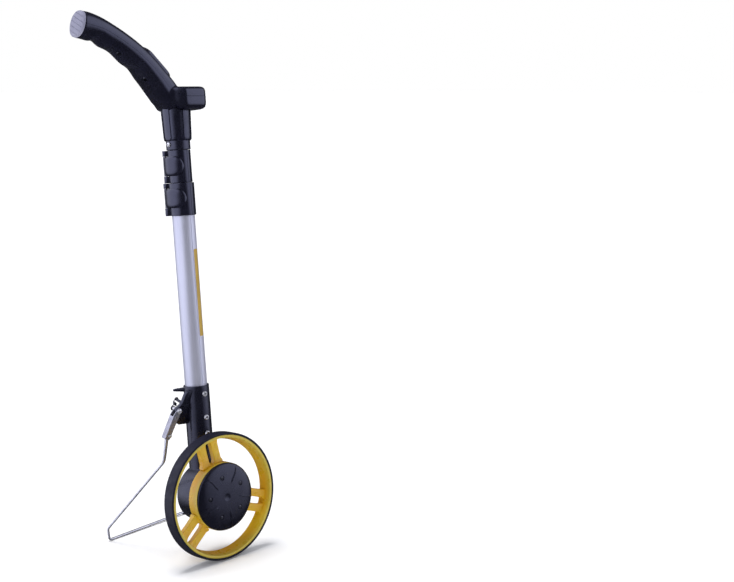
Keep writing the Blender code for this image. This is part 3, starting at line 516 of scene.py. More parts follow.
def lathe(profile, steps, axis="Z", centre=(0, 0), phase=0.0):
    """Turn a closed (radius, height) loop; a loop that touches the axis makes a full solid."""
    def place(r, h, t):
        c, s = r * cos(t), r * sin(t)
        if axis == "Z":
            return (centre[0] + c, centre[1] + s, h)
        return (centre[0] + c, h, centre[1] + s)

    angles = around(steps, phase)
    if not any(r == 0 for r, h in profile):
        return ring_stack([[place(r, h, t) for t in angles] for r, h in profile], closed=True)
    points, rows, faces = [], [], []
    for r, h in profile:
        if r == 0:
            rows.append([len(points)])
            points.append(place(0, h, 0))
        else:
            rows.append(list(range(len(points), len(points) + steps)))
            points.extend(place(r, h, t) for t in angles)
    for upper, lower in zip(rows, rows[1:]):
        for i in range(steps):
            j = (i + 1) % steps
            if len(upper) == 1:
                faces.append((upper[0], lower[i], lower[j]))
            elif len(lower) == 1:
                faces.append((upper[i], lower[0], upper[j]))
            else:
                faces.append((upper[i], lower[i], lower[j], upper[j]))
    return points, faces


def turned_loop(profile, radii, steps, axis="Z", centre=(0, 0), arc=4):
    """A lathe whose profile corners are rounded, apart from those on the axis."""
    if isinstance(radii, (int, float)):
        radii = [0 if r == 0 else radii for r, h in profile]
    return lathe(rounded_loop(profile, list(radii), arc), steps, axis, centre)


def prism(outline, low, high, axis="Y"):
    """Extrude an outline given in the plane across the axis."""
    def place(p, h):
        return (p[0], h, p[1]) if axis == "Y" else (p[0], p[1], h)

    return ring_stack([[place(p, low) for p in outline], [place(p, high) for p in outline]])


def block(x, y, z):
    return prism([(x[0], z[0]), (x[1], z[0]), (x[1], z[1]), (x[0], z[1])], y[0], y[1])


def disc(r, low, high, steps, axis="Z", centre=(0, 0), phase=0.0):
    return lathe([(0, low), (r, low), (r, high), (0, high)], steps, axis, centre, phase)


def sweep(path, radii, steps=16, closed=False):
    """A round wire along a path of points, with one radius per point."""
    path = [Vector(p) for p in path]
    rings, side = [], None
    for i, point in enumerate(path):
        before = path[i - 1] if i or closed else point
        after = path[(i + 1) % len(path)] if i + 1 < len(path) or closed else point
        ahead = (point - before).normalized() + (after - point).normalized()
        ahead.normalize()
        if side is None:
            side = ahead.orthogonal().normalized()
        side = (side - ahead * side.dot(ahead)).normalized()
        other = ahead.cross(side)
        rings.append([tuple(point + radii[i] * (side * cos(t) + other * sin(t)))
                      for t in around(steps)])
    return ring_stack(rings, closed)


def smooth_path(points, values, per_span=6):
    """Catmull-Rom curve through points, with values carried along."""
    points = [Vector(p) for p in points]
    made, carried = [], []
    for i in range(len(points) - 1):
        a, b, c, d = (points[max(i - 1, 0)], points[i], points[i + 1], points[min(i + 2, len(points) - 1)])
        for k in range(per_span):
            t = k / per_span
            made.append(0.5 * (2 * b + (c - a) * t + (2 * a - 5 * b + 4 * c - d) * t ** 2
                               + (3 * b - a - 3 * c + d) * t ** 3))
            carried.append(values[i] * (1 - t) + values[i + 1] * t)
    return made + [points[-1]], carried + [values[-1]]


def merge(*shapes):
    """Several closed shapes in one mesh."""
    points, faces = [], []
    for more_points, more_faces in shapes:
        start = len(points)
        points.extend(more_points)
        faces.extend(tuple(i + start for i in face) for face in more_faces)
    return points, faces


def turned(shape, angle):
    """Copy of a shape turned about the Y direction."""
    c, s = cos(radians(angle)), sin(radians(angle))
    return [(c * x - s * z, y, s * x + c * z) for x, y, z in shape[0]], shape[1]


def spun(shape, angle):
    """Copy of a shape turned about the vertical axis."""
    c, s = cos(radians(angle)), sin(radians(angle))
    return [(c * x - s * y, s * x + c * y, z) for x, y, z in shape[0]], shape[1]


def rounded(half_x, half_y, radius, steps=8, centre=(0.0, 0.0)):
    """Rectangle with round corners."""
    made = []
    for cx, cy, start in ((1, 1, 0), (-1, 1, 90), (-1, -1, 180), (1, -1, 270)):
        for k in range(steps + 1):
            t = radians(start + 90 * k / steps)
            made.append((centre[0] + cx * (half_x - radius) + radius * cos(t),
                         centre[1] + cy * (half_y - radius) + radius * sin(t)))
    return made


def piece(name, shape, place, paint, *nodes, **how):
    """A piece made of one shape, shown at once."""
    return show(solid(name, shape, place), paint, *nodes, **how)


# ---- screws and rivets ----
def cross_recess(at_point, axis_dir, size, depth):
    """Cross-shaped recess for a driver, cut into a screw head that faces axis_dir."""
    ahead = Vector(axis_dir).normalized()
    side = ahead.orthogonal().normalized()
    other = ahead.cross(side)
    half = 0.22 * size
    outline = [(size, half), (half, half), (half, size), (-half, size), (-half, half), (-size, half),
               (-size, -half), (-half, -half), (-half, -size), (half, -size), (half, -half), (size, -half)]
    rings = [[tuple(Vector(at_point) + ahead * h + side * (a * k) + other * (b * k)) for a, b in outline]
             for h, k in ((0.6, 1.25), (-depth, 0.55))]
    return ring_stack(rings)


def polar(r, degrees):
    return (r * cos(radians(degrees)), r * sin(radians(degrees)))


# ---- wheel ----
def make_tyre():
    profile = [(TYRE_IN_R, 0.0), (WHEEL_R, 0.0), (WHEEL_R, TYRE_W), (TYRE_IN_R, TYRE_W)]
    shape = turned_loop(profile, (0.3, 1.5, 1.5, 0.3), 200, "Y", arc=6)
    piece("tyre_band", shape, WHEEL, TYRE, "tyre")


def bar(angle, side):
    """One spoke bar, flared into the rim and the hub, with rounded edges."""
    mid = side * (BAR_GAP + BAR_W) / 2
    rings = []
    for r, flare, tall in ((40.9, 1.5, 0.5), (43.4, 1.2, 0.4), (44.6, 0.5, 0.15), (46.4, 0.0, 0.0),
                           (56.0, -0.15, 0.0), (66.0, 0.0, 0.0), (68.4, 0.5, 0.15), (69.9, 1.2, 0.4),
                           (72.5, 1.6, 0.5)):
        half_w, y0, y1 = BAR_W / 2 + flare, 9.0 - tall, 16.4 + tall
        outline = rounded_loop([(y0, mid - half_w), (y1, mid - half_w), (y1, mid + half_w),
                                (y0, mid + half_w)], 1.1, 4)
        rings.append([(r, y, z) for y, z in outline])
    return turned(ring_stack(rings), angle)


def make_rim():
    band = [(RIM_LIP_R, 0.4), (RIM_LIP_R, 16.6), (RIM_FAR_R + 1.6, 17.2), (RIM_FAR_R, 17.2),
            (RIM_NEAR_R - 1.4, 7.6), (RIM_NEAR_R, 0.4)]
    rim = solid("wheel_moulding", turned_loop(band, (0.5, 0.3, 0.4, 0.6, 0.8, 0.7), 180, "Y"), WHEEL)
    hub = [(HUB_R, 1.0), (HUB_R, 17.0), (11.05, 17.0), (11.05, 3.0), (14.0, 3.0), (14.0, 13.5),
           (40.0, 13.5), (40.0, 1.0)]
    bars = [bar(angle, side) for angle in SPOKE_ANGLES for side in (-1, 1)]
    join(rim, WHEEL, turned_loop(hub, 0.5, 150, "Y"), merge(*bars))
    show(rim, YELLOW, "wheel_rim", sharp=32)


def cap_rib():
    """One curved rib of the cap: a low round ridge that sinks into the cap at both ends."""
    rings = []
    steps = 22
    for k in range(steps + 1):
        f = k / steps
        r = 17.5 + 22.8 * f
        t = radians(66.5 - 17 * sin(pi * f * 0.5) + 14 * f)
        c, s = cos(t), sin(t)
        fade = min(1.0, 6 * f, 5 * (1 - f))
        crest = cap_height(r) - 1.15 * fade
        half = 0.8 * (0.5 + 0.5 * fade)
        ring = [(half * cos(a), crest + half * 0.75 * (1 - sin(a))) for a in
                (pi * j / 6 for j in range(7))]
        ring += [(-half - 0.3, cap_height(r) + 0.7), (half + 0.3, cap_height(r) + 0.7)]
        rings.append([(r * c - w * s, y, r * s + w * c) for w, y in ring])
    return ring_stack(rings)


CAP_PROFILE = ((0.0, -CAP_RISE), (9.0, -CAP_RISE - 0.02), (20.0, -CAP_RISE + 0.3), (32.0, -CAP_RISE + 1.2),
               (38.5, -CAP_RISE + 2.6), (41.5, -1.2), (CAP_R, 0.7))


def cap_height(r):
    for (r0, h0), (r1, h1) in zip(CAP_PROFILE, CAP_PROFILE[1:]):
        if r <= r1:
            return h0 + (h1 - h0) * (r - r0) / (r1 - r0)
    return CAP_PROFILE[-1][1]


HUB_SCREW_TURN = 30.5   # degrees to the first of five screws
HUB_SCREWS = [polar(SCREW_CIRCLE_R, HUB_SCREW_TURN + 72 * k) for k in range(5)]


def make_cap():
    outer, _ = smooth_path([(r, h, 0) for r, h in CAP_PROFILE], [0] * len(CAP_PROFILE), 5)
    profile = [(p.x, p.y) for p in outer]
    profile[0] = (0, -CAP_RISE)
    profile += [(39.6, 0.7), (36.5, -1.4), (26.0, -2.9), (0, -3.4)]
    cap = solid("hub_cap_moulding", lathe(profile, 120, "Y"), WHEEL)
    rib = cap_rib()
    join(cap, WHEEL, merge(*[turned(rib, 72 * k) for k in range(5)]))
    well = [(0, -9), (3.3, -9), (3.3, -5.5), (2.9, -4.6), (2.9, -3.7), (0, -3.7)]
    dish = [(0, -9), (5.4, -9), (5.0, -CAP_RISE - 0.1), (3.6, -CAP_RISE + 0.35), (0, -CAP_RISE + 0.6)]
    cut(cap, WHEEL, merge(*[lathe(well, 32, "Y", centre) for centre in HUB_SCREWS], lathe(dish, 40, "Y")),
        merge(*[disc(1.7, -9, 2, 24, "Y", centre) for centre in HUB_SCREWS]))
    show(cap, BLACK_SATIN, "hub_cap", sharp=28)


def make_hub_screws():
    profile = [(0, -4.9), (1.7, -4.8), (2.4, -4.35), (2.4, -4.0), (1.25, -4.0), (1.25, 8.0), (0, 8.0)]
    for k, (x, z) in enumerate(HUB_SCREWS):
        screw = solid(f"hub_screw_head_{k + 1}", turned_loop(profile, 0.15, 32, "Y", (x, z)), WHEEL)
        cut(screw, WHEEL, cross_recess((x, -4.9, z), (0, -1, 0), 1.3, 0.7))
        show(screw, DARK_STEEL_AND_SHADE, f"hub_screw_{k + 1}")


# ---- bracket ----
PEG_DIR = Vector((-0.785, 0.62, 0))
POST = Vector((5.9, 0, 9.0))
PEG_START = Vector((0, 0, 212.0))


def make_bracket():
    drum = [(AXLE_R + 0.05, DRUM_Y0), (DRUM_R, DRUM_Y0), (DRUM_R, DRUM_Y1), (33.4, DRUM_Y1),
            (33.4, DRUM_Y0 + 5.0), (AXLE_R + 0.05, DRUM_Y0 + 5.0)]
    bracket = solid("bracket_casting", turned_loop(drum, (0, 2.2, 0.7, 0.4, 1.0, 0), 140, "Y"), WHEEL)
    sleeve = [(0, 90), (SLEEVE_R, 90), (SLEEVE_R, SLEEVE_TOP), (0, SLEEVE_TOP)]
    post = solid("post", turned_loop(sleeve, (0, 0, 1.0, 0), 96), POLE)
    lug = rounded_loop([(19.1, -20.5), (1.6, -19.0), (-1.9, -12.0), (-3.8, -2.4), (-3.4, 2.4), (-1.0, 4.4),
                        (1.4, 6.0), (4.9, 9.9), (6.3, 13.8), (8.6, 20.2), (11.5, 23.6), (19.1, 24.4)],
                       (0, 1.5, 2.5, 1.8, 1.8, 1.2, 1.5, 1.5, 2.0, 1.5, 1.5, 0), 5)
    combine(post, "UNION", soften(solid("tool", prism(lug, -2.5, 2.5), STAND), 0.6, 2))
    rib = ring_stack([[(x, -2.2, 3.6), (x, -2.2, 6.0), (x, -reach, 5.6), (x, -reach, 5.0)]
                      for x, reach in ((6.0, 5.4), (17.1, 4.4))])
    spring_post = turned_loop([(0, 2.0), (1.7, 2.0), (1.7, 13.0), (0, 13.0)], (0, 0, 0.4, 0), 32, "Y",
                              tuple(POST.xz))
    join(post, STAND, rib, spring_post)
    peg = smooth_path([PEG_START + PEG_DIR * d for d in (14.4, 17, 22, 27, 29)],
                      [3.0, 2.7, 2.2, 1.75, 1.2], 4)
    join(post, POLE, sweep(*peg, 20))
    seat = [(0, -20), (3.75, -20), (3.75, -16.05), (0, -15.95)]
    cut(post, POLE, merge(*[disc(1.7, -20, -5, 23, "Y", (0, z), 0.2) for z in SCREW_Z]),
        merge(*[lathe(seat, 32, "Y", (0, z)) for z in SCREW_Z]))
    cut(post, WHEEL, disc(34.2, 10.0, 70.0, 90, "Y", phase=0.01))
    cut(post, POLE, disc(SLEEVE_BORE, SLEEVE_FLOOR, 230.0, 96))
    cut(post, STAND, disc(2.5, -8, 8, 32, "Y"))
    combine(bracket, "UNION", post)
    show(bracket, BLACK_SATIN, "bracket", sharp=30)


def make_bracket_screws():
    """Bright tubular rivets; a blackened plug in each bore is painted shade for the dark, deep centre."""
    shell = [(0, -16.6), (1.25, -16.6), (1.35, -18.1), (2.1, -18.4), (3.2, -17.6), (3.4, -16.3),
             (1.4, -16.3), (1.4, -12.7), (0, -12.7)]
    shade_plug = [(0, -17.1), (0.5, -17.0), (1.15, -16.8), (1.15, -13.2), (0, -13.2)]
    for k, z in enumerate(SCREW_Z):
        shape = turned_loop(shell, (0, 0.1, 0.3, 0.7, 0.6, 0.1, 0, 0, 0), 36, "Y", (0, z))
        piece(f"bracket_rivet_{k + 1}", shape, POLE, STEEL, f"bracket_screw_{k + 1}")
        # Painted shade: a blackened plug fills the front of the bore so the rivet's centre reads as a dark
        # hole
        piece(f"bracket_rivet_shade_plug_{k + 1}", turned_loop(shade_plug, 0.1, 24, "Y", (0, z)), POLE, DARK_STEEL_AND_SHADE,
              body="frame")


def make_drum_cover():
    profile = [(0, 46.6), (33.1, 46.6), (33.1, 50.0), (29.5, 50.0), (28.5, 49.2), (9.0, 49.2), (8.0, 50.0),
               (0, 50.0)]
    shape = turned_loop(profile, (0, 0.2, 0.8, 0.5, 0.5, 0.5, 0.5, 0), 120, "Y")
    cover = solid("drum_cover_plate", shape, WHEEL)
    cut(cover, WHEEL, block((-19, 19), (40, 60), (26.0, 40)))
    show(cover, BLACK_SATIN, "drum_cover")


# ---- pole ----
def tube(name, radii, span):
    profile = [(radii[0], span[0]), (radii[0], span[1]), (radii[1], span[1]), (radii[1], span[0])]
    return solid(name, turned_loop(profile, 0.25, 96, arc=2), POLE)


def neck_drill():
    """Hole for the screw that holds the neck to the upper tube."""
    return spun(disc(1.6, -30, -5, 24, "Y", (0, NECK_SCREW_Z)), NECK_SCREW_TURN)


def make_tubes():
    lower = tube("lower_tube_drawn", LOWER_TUBE, LOWER_TUBE_Z)
    groove = [(-0.45, -16.0), (0.45, -16.0), (0.55, -13.75), (0.3, -13.35), (-0.3, -13.35), (-0.55, -13.75)]
    cut(lower, POLE, prism(groove, *GROOVE_Z, "Z"),
        merge(*[disc(1.7, -20, -5, 24, "Y", (0, z), 0.13) for z in SCREW_Z]))
    show(lower, ALUMINIUM, "lower_tube")
    show(tube("middle_tube_drawn", MIDDLE_TUBE, MIDDLE_TUBE_Z), ALUMINIUM, "middle_tube")
    upper = tube("upper_tube_drawn", UPPER_TUBE, UPPER_TUBE_Z)
    show(cut(upper, POLE, neck_drill()), ALUMINIUM, "upper_tube")


def make_label():
    """Blank film strip with round corners, wrapped round the tube."""
    r0, r1 = LOWER_TUBE[0] + 0.08, LOWER_TUBE[0] + 0.33
    middle, half_arc = sum(LABEL_ARC) / 2, (LABEL_ARC[1] - LABEL_ARC[0]) / 2
    half_w = radians(half_arc) * LOWER_TUBE[0]
    z_mid, half_z = sum(LABEL_Z) / 2, (LABEL_Z[1] - LABEL_Z[0]) / 2
    corner, columns = 1.4, 16
    rings = []
    for k in range(columns + 1):
        w = half_w * (2 * k / columns - 1)
        over = max(0.0, abs(w) - (half_w - corner))
        drop = corner - sqrt(max(corner ** 2 - over ** 2, 0.0))
        t = radians(180 + middle) + w / LOWER_TUBE[0]
        c, s = cos(t), sin(t)
        rings.append([(r * c, r * s, z_mid + sign * (half_z - drop))
                      for r, sign in ((r0, -1), (r1, -1), (r1, 1), (r0, 1))])
    piece("tube_label_film", ring_stack(rings), POLE, LABEL, "tube_label")


def arc_grid(body_r, low, high, start, stop):
    """Clamp lever: a curved paddle whose free end is a half round and whose face is crowned."""
    columns, rows = 40, 20
    mid, half = (low + high) / 2, (high - low) / 2
    total = radians(stop - start) * (body_r + 4)
    rounding = half * 1.05
    inner, outer = [], []
    for k in range(columns + 1):
        f = k / columns
        along = f * total
        left = total - along
        tall = half if left > rounding else half * sqrt(max(1 - (1 - left / rounding) ** 2, 0.0012))
        t = radians(180 + start) + radians(stop - start) * f
        c, s = cos(t), sin(t)
        row_in, row_out = [], []
        for j in range(rows + 1):
            v = 2 * j / rows - 1
            z = mid + tall * v
            edge = 1 - abs(v) ** 6
            end = 1 - max(0.0, 1 - left / 7.0) ** 3
            begin = 1 - max(0.0, 1 - along / 2.0) ** 2
            r_out = body_r + 1.4 + 3.2 * (0.35 + 0.65 * edge) * (0.45 + 0.55 * end) * (0.6 + 0.4 * begin)
            row_in.append(((body_r + 0.4) * c, (body_r + 0.4) * s, z))
            row_out.append((r_out * c, r_out * s, z))
        inner.append(row_in)
        outer.append(row_out)
    rings = [a + b[::-1] for a, b in zip(inner, outer)]
    return ring_stack(rings)


PIN_TURN = 142.0        # degrees round the pole where the lever's pin stands


def make_collar(level, span, body_r, tube_low, tube_high, split, lever_span):
    """Split clamp with two lugs, the pin through them and the lever that turns on it."""
    low, high = span
    profile = [(body_r, low), (body_r, high), (tube_high, high), (tube_high, split), (tube_low, split),
               (tube_low, low)]
    made = solid(f"{level}_collar_clamp", turned_loop(profile, (0.6, 0.6, 0.3, 0, 0, 0.3), 96), POLE)
    pin = Vector((*polar(body_r + 2.4, PIN_TURN), 0))
    ahead = pin.normalized()
    side = Vector((-ahead.y, ahead.x, 0))
    hole = (pin.x, pin.y)
    outline = rounded_loop([tuple((pin + ahead * a + side * b).xy) for a, b in
                            ((-3.6, -4.0), (1.0, -4.0), (3.4, -2.2), (3.4, 2.2), (1.0, 4.0), (-3.6, 4.0))],
                           (0, 1.0, 1.2, 1.2, 1.0, 0), 4)
    for z0, z1 in ((low + 0.03, lever_span[0] - GAP), (lever_span[1] + GAP, high - 0.03)):
        combine(made, "UNION", soften(solid("tool", prism(outline, z0, z1, "Z"), POLE), 0.2, 2))
    tall = (low - 2, high + 2)
    cut(made, POLE, disc(1.3, low + 2.6, high + 5, 24, "Z", hole),
        spun(block((tube_high - 1.5, body_r + 3), (-0.6, 0.6), tall), SLOT_TURN),
        spun(block((body_r - 0.35, body_r + 3), (-0.35, 0.35), tall), SLOT_TURN - 17),
        disc(3.3, lever_span[0] - GAP, lever_span[1] + GAP, 32, "Z", hole))
    show(made, BLACK, f"{level}_collar", sharp=32)
    pin_profile = [(0, low + 2.7), (1.25, low + 2.7), (1.25, high - 1.3), (0, high - 1.3)]
    piece(f"{level}_clamp_pin", turned_loop(pin_profile, 0.25, 24, "Z", hole), POLE, STEEL,
          f"{level}_lever_pin")
    lever = solid(f"{level}_clamp_lever", arc_grid(body_r, *lever_span, *LEVER_ARC), POLE)
    eye = [(0, lever_span[0]), (3.0, lever_span[0]), (3.0, lever_span[1]), (0, lever_span[1])]
    join(lever, POLE, turned_loop(eye, (0, 0.4, 0.4, 0), 32, "Z", hole))
    cut(lever, POLE, disc(1.31, low - 2, high + 5, 24, "Z", hole))
    show(lever, BLACK, f"{level}_lever", sharp=50)


# ---- neck ----
def neck_radius(z):
    points = ((NECK_Z[0], 14.2), (NECK_Z[0] + 0.8, 14.8), (NECK_Z[1] - 1.0, 14.8), (NECK_Z[1] + 0.6, 15.6),
              (NECK_Z[1] + 3.0, 15.9), (NECK_Z[1] + 36.0, 17.0), (NECK_Z[2], 17.0))
    for (z0, r0), (z1, r1) in zip(points, points[1:]):
        if z <= z1:
            return r0 + (r1 - r0) * max(0.0, z - z0) / (z1 - z0)
    return points[-1][1]


def make_neck():
    """Socket with long raised flutes that end in round noses above a plain ring."""
    rings, steps, flutes, half = [], 192, 8, 0.40
    heights = [NECK_Z[0] + 0.2 * k for k in range(6)] + [512.0, 516.0, 519.5]
    heights += [520.5 + 0.5 * k for k in range(20)] + [532.0, 540.0, 548.0, 556.0, 572.0]
    phase = radians(-14)
    for z in heights:
        ring = []
        for t in around(steps):
            across = (((t - phase) * flutes / (2 * pi)) % 1.0) - 0.5
            nose = max(0.0, min(1.0, (z - 520.8) / 4.0))
            edge = half * sqrt(max(0.0, 1 - (1 - nose) ** 2))
            rise = max(0.0, min(1.0, (edge - abs(across)) / 0.045)) if edge > 0.02 else 0.0
            rise = rise * rise * (3 - 2 * rise)
            r = neck_radius(z) + 1.25 * rise
            ring.append((r * cos(t), r * sin(t), z))
        rings.append(ring)
    neck = solid("neck_moulding", ring_stack(rings), POLE)
    cut(neck, POLE, disc(UPPER_TUBE[0] + 0.05, 500, 580, 96), neck_drill())
    combine(neck, "DIFFERENCE", handle_form("tool", -GAP, 0.0))
    show(neck, BLACK, "neck_socket", sharp=30)
    profile = [(0, -16.9), (1.8, -17.0), (3.0, -16.1), (3.1, -15.1), (1.3, -15.1), (1.3, -9.7), (0, -9.7)]
    head = turned_loop(profile, (0, 0.4, 0.6, 0.3, 0, 0, 0), 36, "Y", (0, NECK_SCREW_Z))
    screw = solid("neck_screw_head", spun(head, NECK_SCREW_TURN), POLE)
    out = Vector((*polar(1, NECK_SCREW_TURN - 90), 0))
    cut(screw, POLE, cross_recess(out * 17.0 + Vector((0, 0, NECK_SCREW_Z)), out, 1.7, 1.2))
    show(screw, STEEL, "neck_screw")


# ---- handle ----
GRIP = [
    (-127.0, 657.9, 15, 14.8, 16.0, 2.2),
    (-118.0, 656.3, 17, 15.4, 16.0, 2.2),
    (-105.0, 652.0, 22, 16.4, 15.6, 2.2),
    (-90.4, 644.9, 29, 17.2, 15.0, 2.3),
    (-76.4, 636.5, 34, 18.0, 15.2, 2.3),
    (-62.1, 626.8, 38, 18.8, 14.9, 2.4),
    (-50.3, 616.9, 41, 19.6, 14.4, 2.6),
    (-40.0, 606.6, 43.5, 20.2, 14.0, 2.8),
    (-30.6, 596.0, 46.5, 20.6, 14.0, 2.9),
    (-21.5, 585.5, 49, 20.6, 14.8, 3.0),
    (-12.5, 574.0, 51, 19.6, 15.0, 3.0),
    (-5.0, 565.5, 53, 18.0, 12.6, 3.0),
]
HEAD = [
    (-24.0, 577.5, 0, 19.0, 8.0, 4.0),
    (-18.0, 576.3, 0, 22.0, 9.2, 5.0),
    (-12.5, 574.9, 0, 27.0, 10.6, 6.0),
    (-7.0, 573.1, 0, 31.0, 12.4, 6.0),
    (-2.5, 572.6, 0, HEAD_HALF_W, 12.9, 6.0),
    (17.0, 572.6, 0, HEAD_HALF_W, 12.9, 6.0),
    (22.5, 572.6, 0, 30.8, 12.9, 5.6),
    (26.5, 572.6, 0, 27.4, 12.3, 5.0),
    (HEAD_FRONT, 572.6, 0, 23.8, 10.8, 4.6),
]
SEAM = [(-140.0, 661.5), (-127.0, 657.9), (-105.0, 652.0), (-90.4, 644.9), (-76.4, 636.5), (-62.1, 626.8),
        (-50.3, 616.9), (-40.0, 606.6), (-30.6, 596.0), (-21.5, 584.8), (-13.0, 576.5), (-4.0, 573.6),
        (8.0, 573.2), (40.0, 573.2)]
FINGER_RIDGES = (-113.0, -93.5, -61.0, -38.0)


def finger_groove(x):
    """Depth of the finger hollows between the ridges under the grip."""
    for a, b in zip(FINGER_RIDGES, FINGER_RIDGES[1:]):
        if a < x < b:
            return 2.7 * sin(pi * (x - a) / (b - a)) ** 2
    return 0.0


def section(station, inset, steps, belly=1.0, grooves=0.0):
    x, z, slope, half_w, half_h, power = station
    slope = radians(slope)
    up = Vector((sin(slope), 0, cos(slope)))
    ring = []
    for k in range(steps):
        t = 2 * pi * (k + 0.5) / steps
        c, s = cos(t), sin(t)
        deep = half_h * (belly if s < 0 else 1.0) - inset
        ridge = grooves * 0.028 * cos(9 * t) * max(0.0, s) ** 0.5
        w = (half_w - inset) * (1 - max(0.0, ridge)) * copysign(abs(c) ** (2 / power), c)
        h = deep * copysign(abs(s) ** (2 / power), s)
        if s < 0:
            h += grooves * finger_groove(x) * min(1.0, (-h / deep)) ** 1.7
        ring.append(tuple(Vector((x, 0, z)) + up * h + Vector((0, w, 0))))
    return ring


def stations(rows, per_span):
    """Smoothly interpolated stations."""
    points = smooth_path([r[:3] for r in rows], [0] * len(rows), per_span)[0]
    widths, powers = smooth_path([(r[3], r[4], 0) for r in rows], [r[5] for r in rows], per_span)
    return [(p.x, p.y, p.z, w.x, w.y, power) for p, w, power in zip(points, widths, powers)]


def handle_form(name, inset, grooves, fine=True):
    """Head and grip joined in one closed form, moved in by inset."""
    steps = 96 if fine else 40
    grip_rows = stations(GRIP, 5 if fine else 2)
    head_rows = stations(HEAD, 4 if fine else 2)
    if inset > 0:
        # The hollow opens at the grip's end and stops short of the head's front.
        x, z, *rest = grip_rows[0]
        grip_rows[0] = (x - 1.0, z + 0.27, *rest)
        front = [(min(row[0], HEAD_FRONT - inset), *row[1:]) for row in head_rows]
        head_rows = [row for i, row in enumerate(front) if i == 0 or row[0] > front[i - 1][0] + 1e-4]
    made = solid(name, ring_stack([section(r, inset, steps, BELLY) for r in head_rows]), POLE)
    grip = solid("grip_tool", ring_stack([section(r, inset, steps, 1.0, grooves) for r in grip_rows]), POLE)
    return combine(made, "UNION", grip)


def seam_block(side, gap):
    far = 760.0 if side > 0 else 480.0
    line, _ = smooth_path([(x, z, 0) for x, z in SEAM], [0] * len(SEAM), 4)
    outline = [(p.x, p.y - side * gap) for p in line] + [(40.0, far), (-140.0, far)]
    return solid("seam_tool", prism(outline, -60, 60), POLE)


def make_handle():
    skin = handle_form("handle_skin", 0.0, 1.0)
    remesh = skin.modifiers.new("remesh", "REMESH")
    remesh.mode, remesh.voxel_size = "VOXEL", 0.75 * MM
    remesh.use_smooth_shade = True
    relax = skin.modifiers.new("relax", "SMOOTH")
    relax.factor, relax.iterations = 0.5, 10
    bake(skin)
    combine(skin, "DIFFERENCE", handle_form("hollow", WALL, 1.0, fine=False))
    halves = []
    for name, side in (("handle_top_shell", 1), ("handle_bottom_shell", -1)):
        half = bpy.data.objects.new(name, skin.data.copy())
        scene.collection.objects.link(half)
        combine(half, "DIFFERENCE", seam_block(-side, 0.17))
        halves.append(half)
    bpy.data.objects.remove(skin)
    top, bottom = halves
    cut(top, POLE, prism(rounded(10.5, 24.5, 3.3, 8, (DISPLAY_X, 0.0)), 581.5, 600, "Z"))
    cut(top, KEYPAD, prism(rounded(26.9, 13.9, 13.3, 12), -7.0, 8.0, "Z"))
    show(top, BLACK, "handle_upper_shell", sharp=30)
    cut(bottom, POLE, disc(UPPER_TUBE[0] + 0.06, 540, 571, 96))
    for k, (x, z, slope) in enumerate(GRIP_SCREWS):
        seat, down = screw_seat(x, z, slope)
        cut(bottom, POLE, sweep([seat + down * 14, seat], [2.9, 2.9], 32),
            sweep([seat + down * 2, seat - down * 11], [1.3, 1.3], 24))
        head = ((2.1, 0.9), (1.9, 1.7), (1.3, 2.5), (0.3, 2.6), (0.29, 1.0), (-7.0, 1.0))
        screw = solid(f"grip_screw_head_{k + 1}",
                      sweep([seat + down * h for h, r in head], [r for h, r in head], 32), POLE)
        cut(screw, POLE, cross_recess(seat + down * 2.1, down, 1.4, 1.0))
        # Painted shade: the screw heads take blackened steel so the screw wells read dark
        show(screw, DARK_STEEL_AND_SHADE, f"grip_screw_{k + 1}")
    show(bottom, BLACK, "handle_lower_shell", sharp=30)


GRIP_SCREWS = ((-74.0, 635.0, 34.5), (-38.0, 604.5, 44.0))


def screw_seat(x, z, slope):
    slope = radians(slope)
    down = Vector((-sin(slope), -0.34, -cos(slope))).normalized()
    return Vector((x, -3.0, z)) + down * 12.2, down


def make_end_cap():
    """Light cap with raised diagonal ridges across its face and a plug inside the grip."""
    rows = ((3.4, 1.9), (3.3, 1.1), (2.9, 0.5), (2.2, 0.25), (GAP, 0.2), (GAP, WALL + 0.5),
            (-8.0, WALL + 1.1))
    slope = radians(GRIP[0][2])
    along = Vector((cos(slope), 0, -sin(slope)))
    rings = [[tuple(Vector(p) - along * back) for p in section(GRIP[0], inset, 96)] for back, inset in rows]
    cap = solid("grip_end_plug", ring_stack(rings), POLE)
    up = Vector((sin(slope), 0, cos(slope)))
    face = Vector((GRIP[0][0], 0, GRIP[0][1])) - along * 3.4
    ridge_dir = (up * 0.42 + Vector((0, 0.91, 0))).normalized()
    across = along.cross(ridge_dir)
    cuts = []
    outline = ((-0.9, -0.9), (0.9, -0.9), (0.35, 0.45), (-0.35, 0.45))
    for k in range(-2, 3):
        middle = face + across * (k * 5.4)
        cuts.append(ring_stack([[tuple(middle + ridge_dir * s + across * a + along * b) for a, b in outline]
                                for s in (-24.0, 24.0)]))
    cut(cap, POLE, merge(*cuts))
    show(cap, CAP_GREY, "grip_end_cap")


# ---- display and keypad ----
def frame_ring(outer, inner, low, high):
    return ring_stack([[(x, y, low) for x, y in outer], [(x, y, high) for x, y in outer],
                       [(x, y, high) for x, y in inner], [(x, y, low) for x, y in inner]], closed=True)


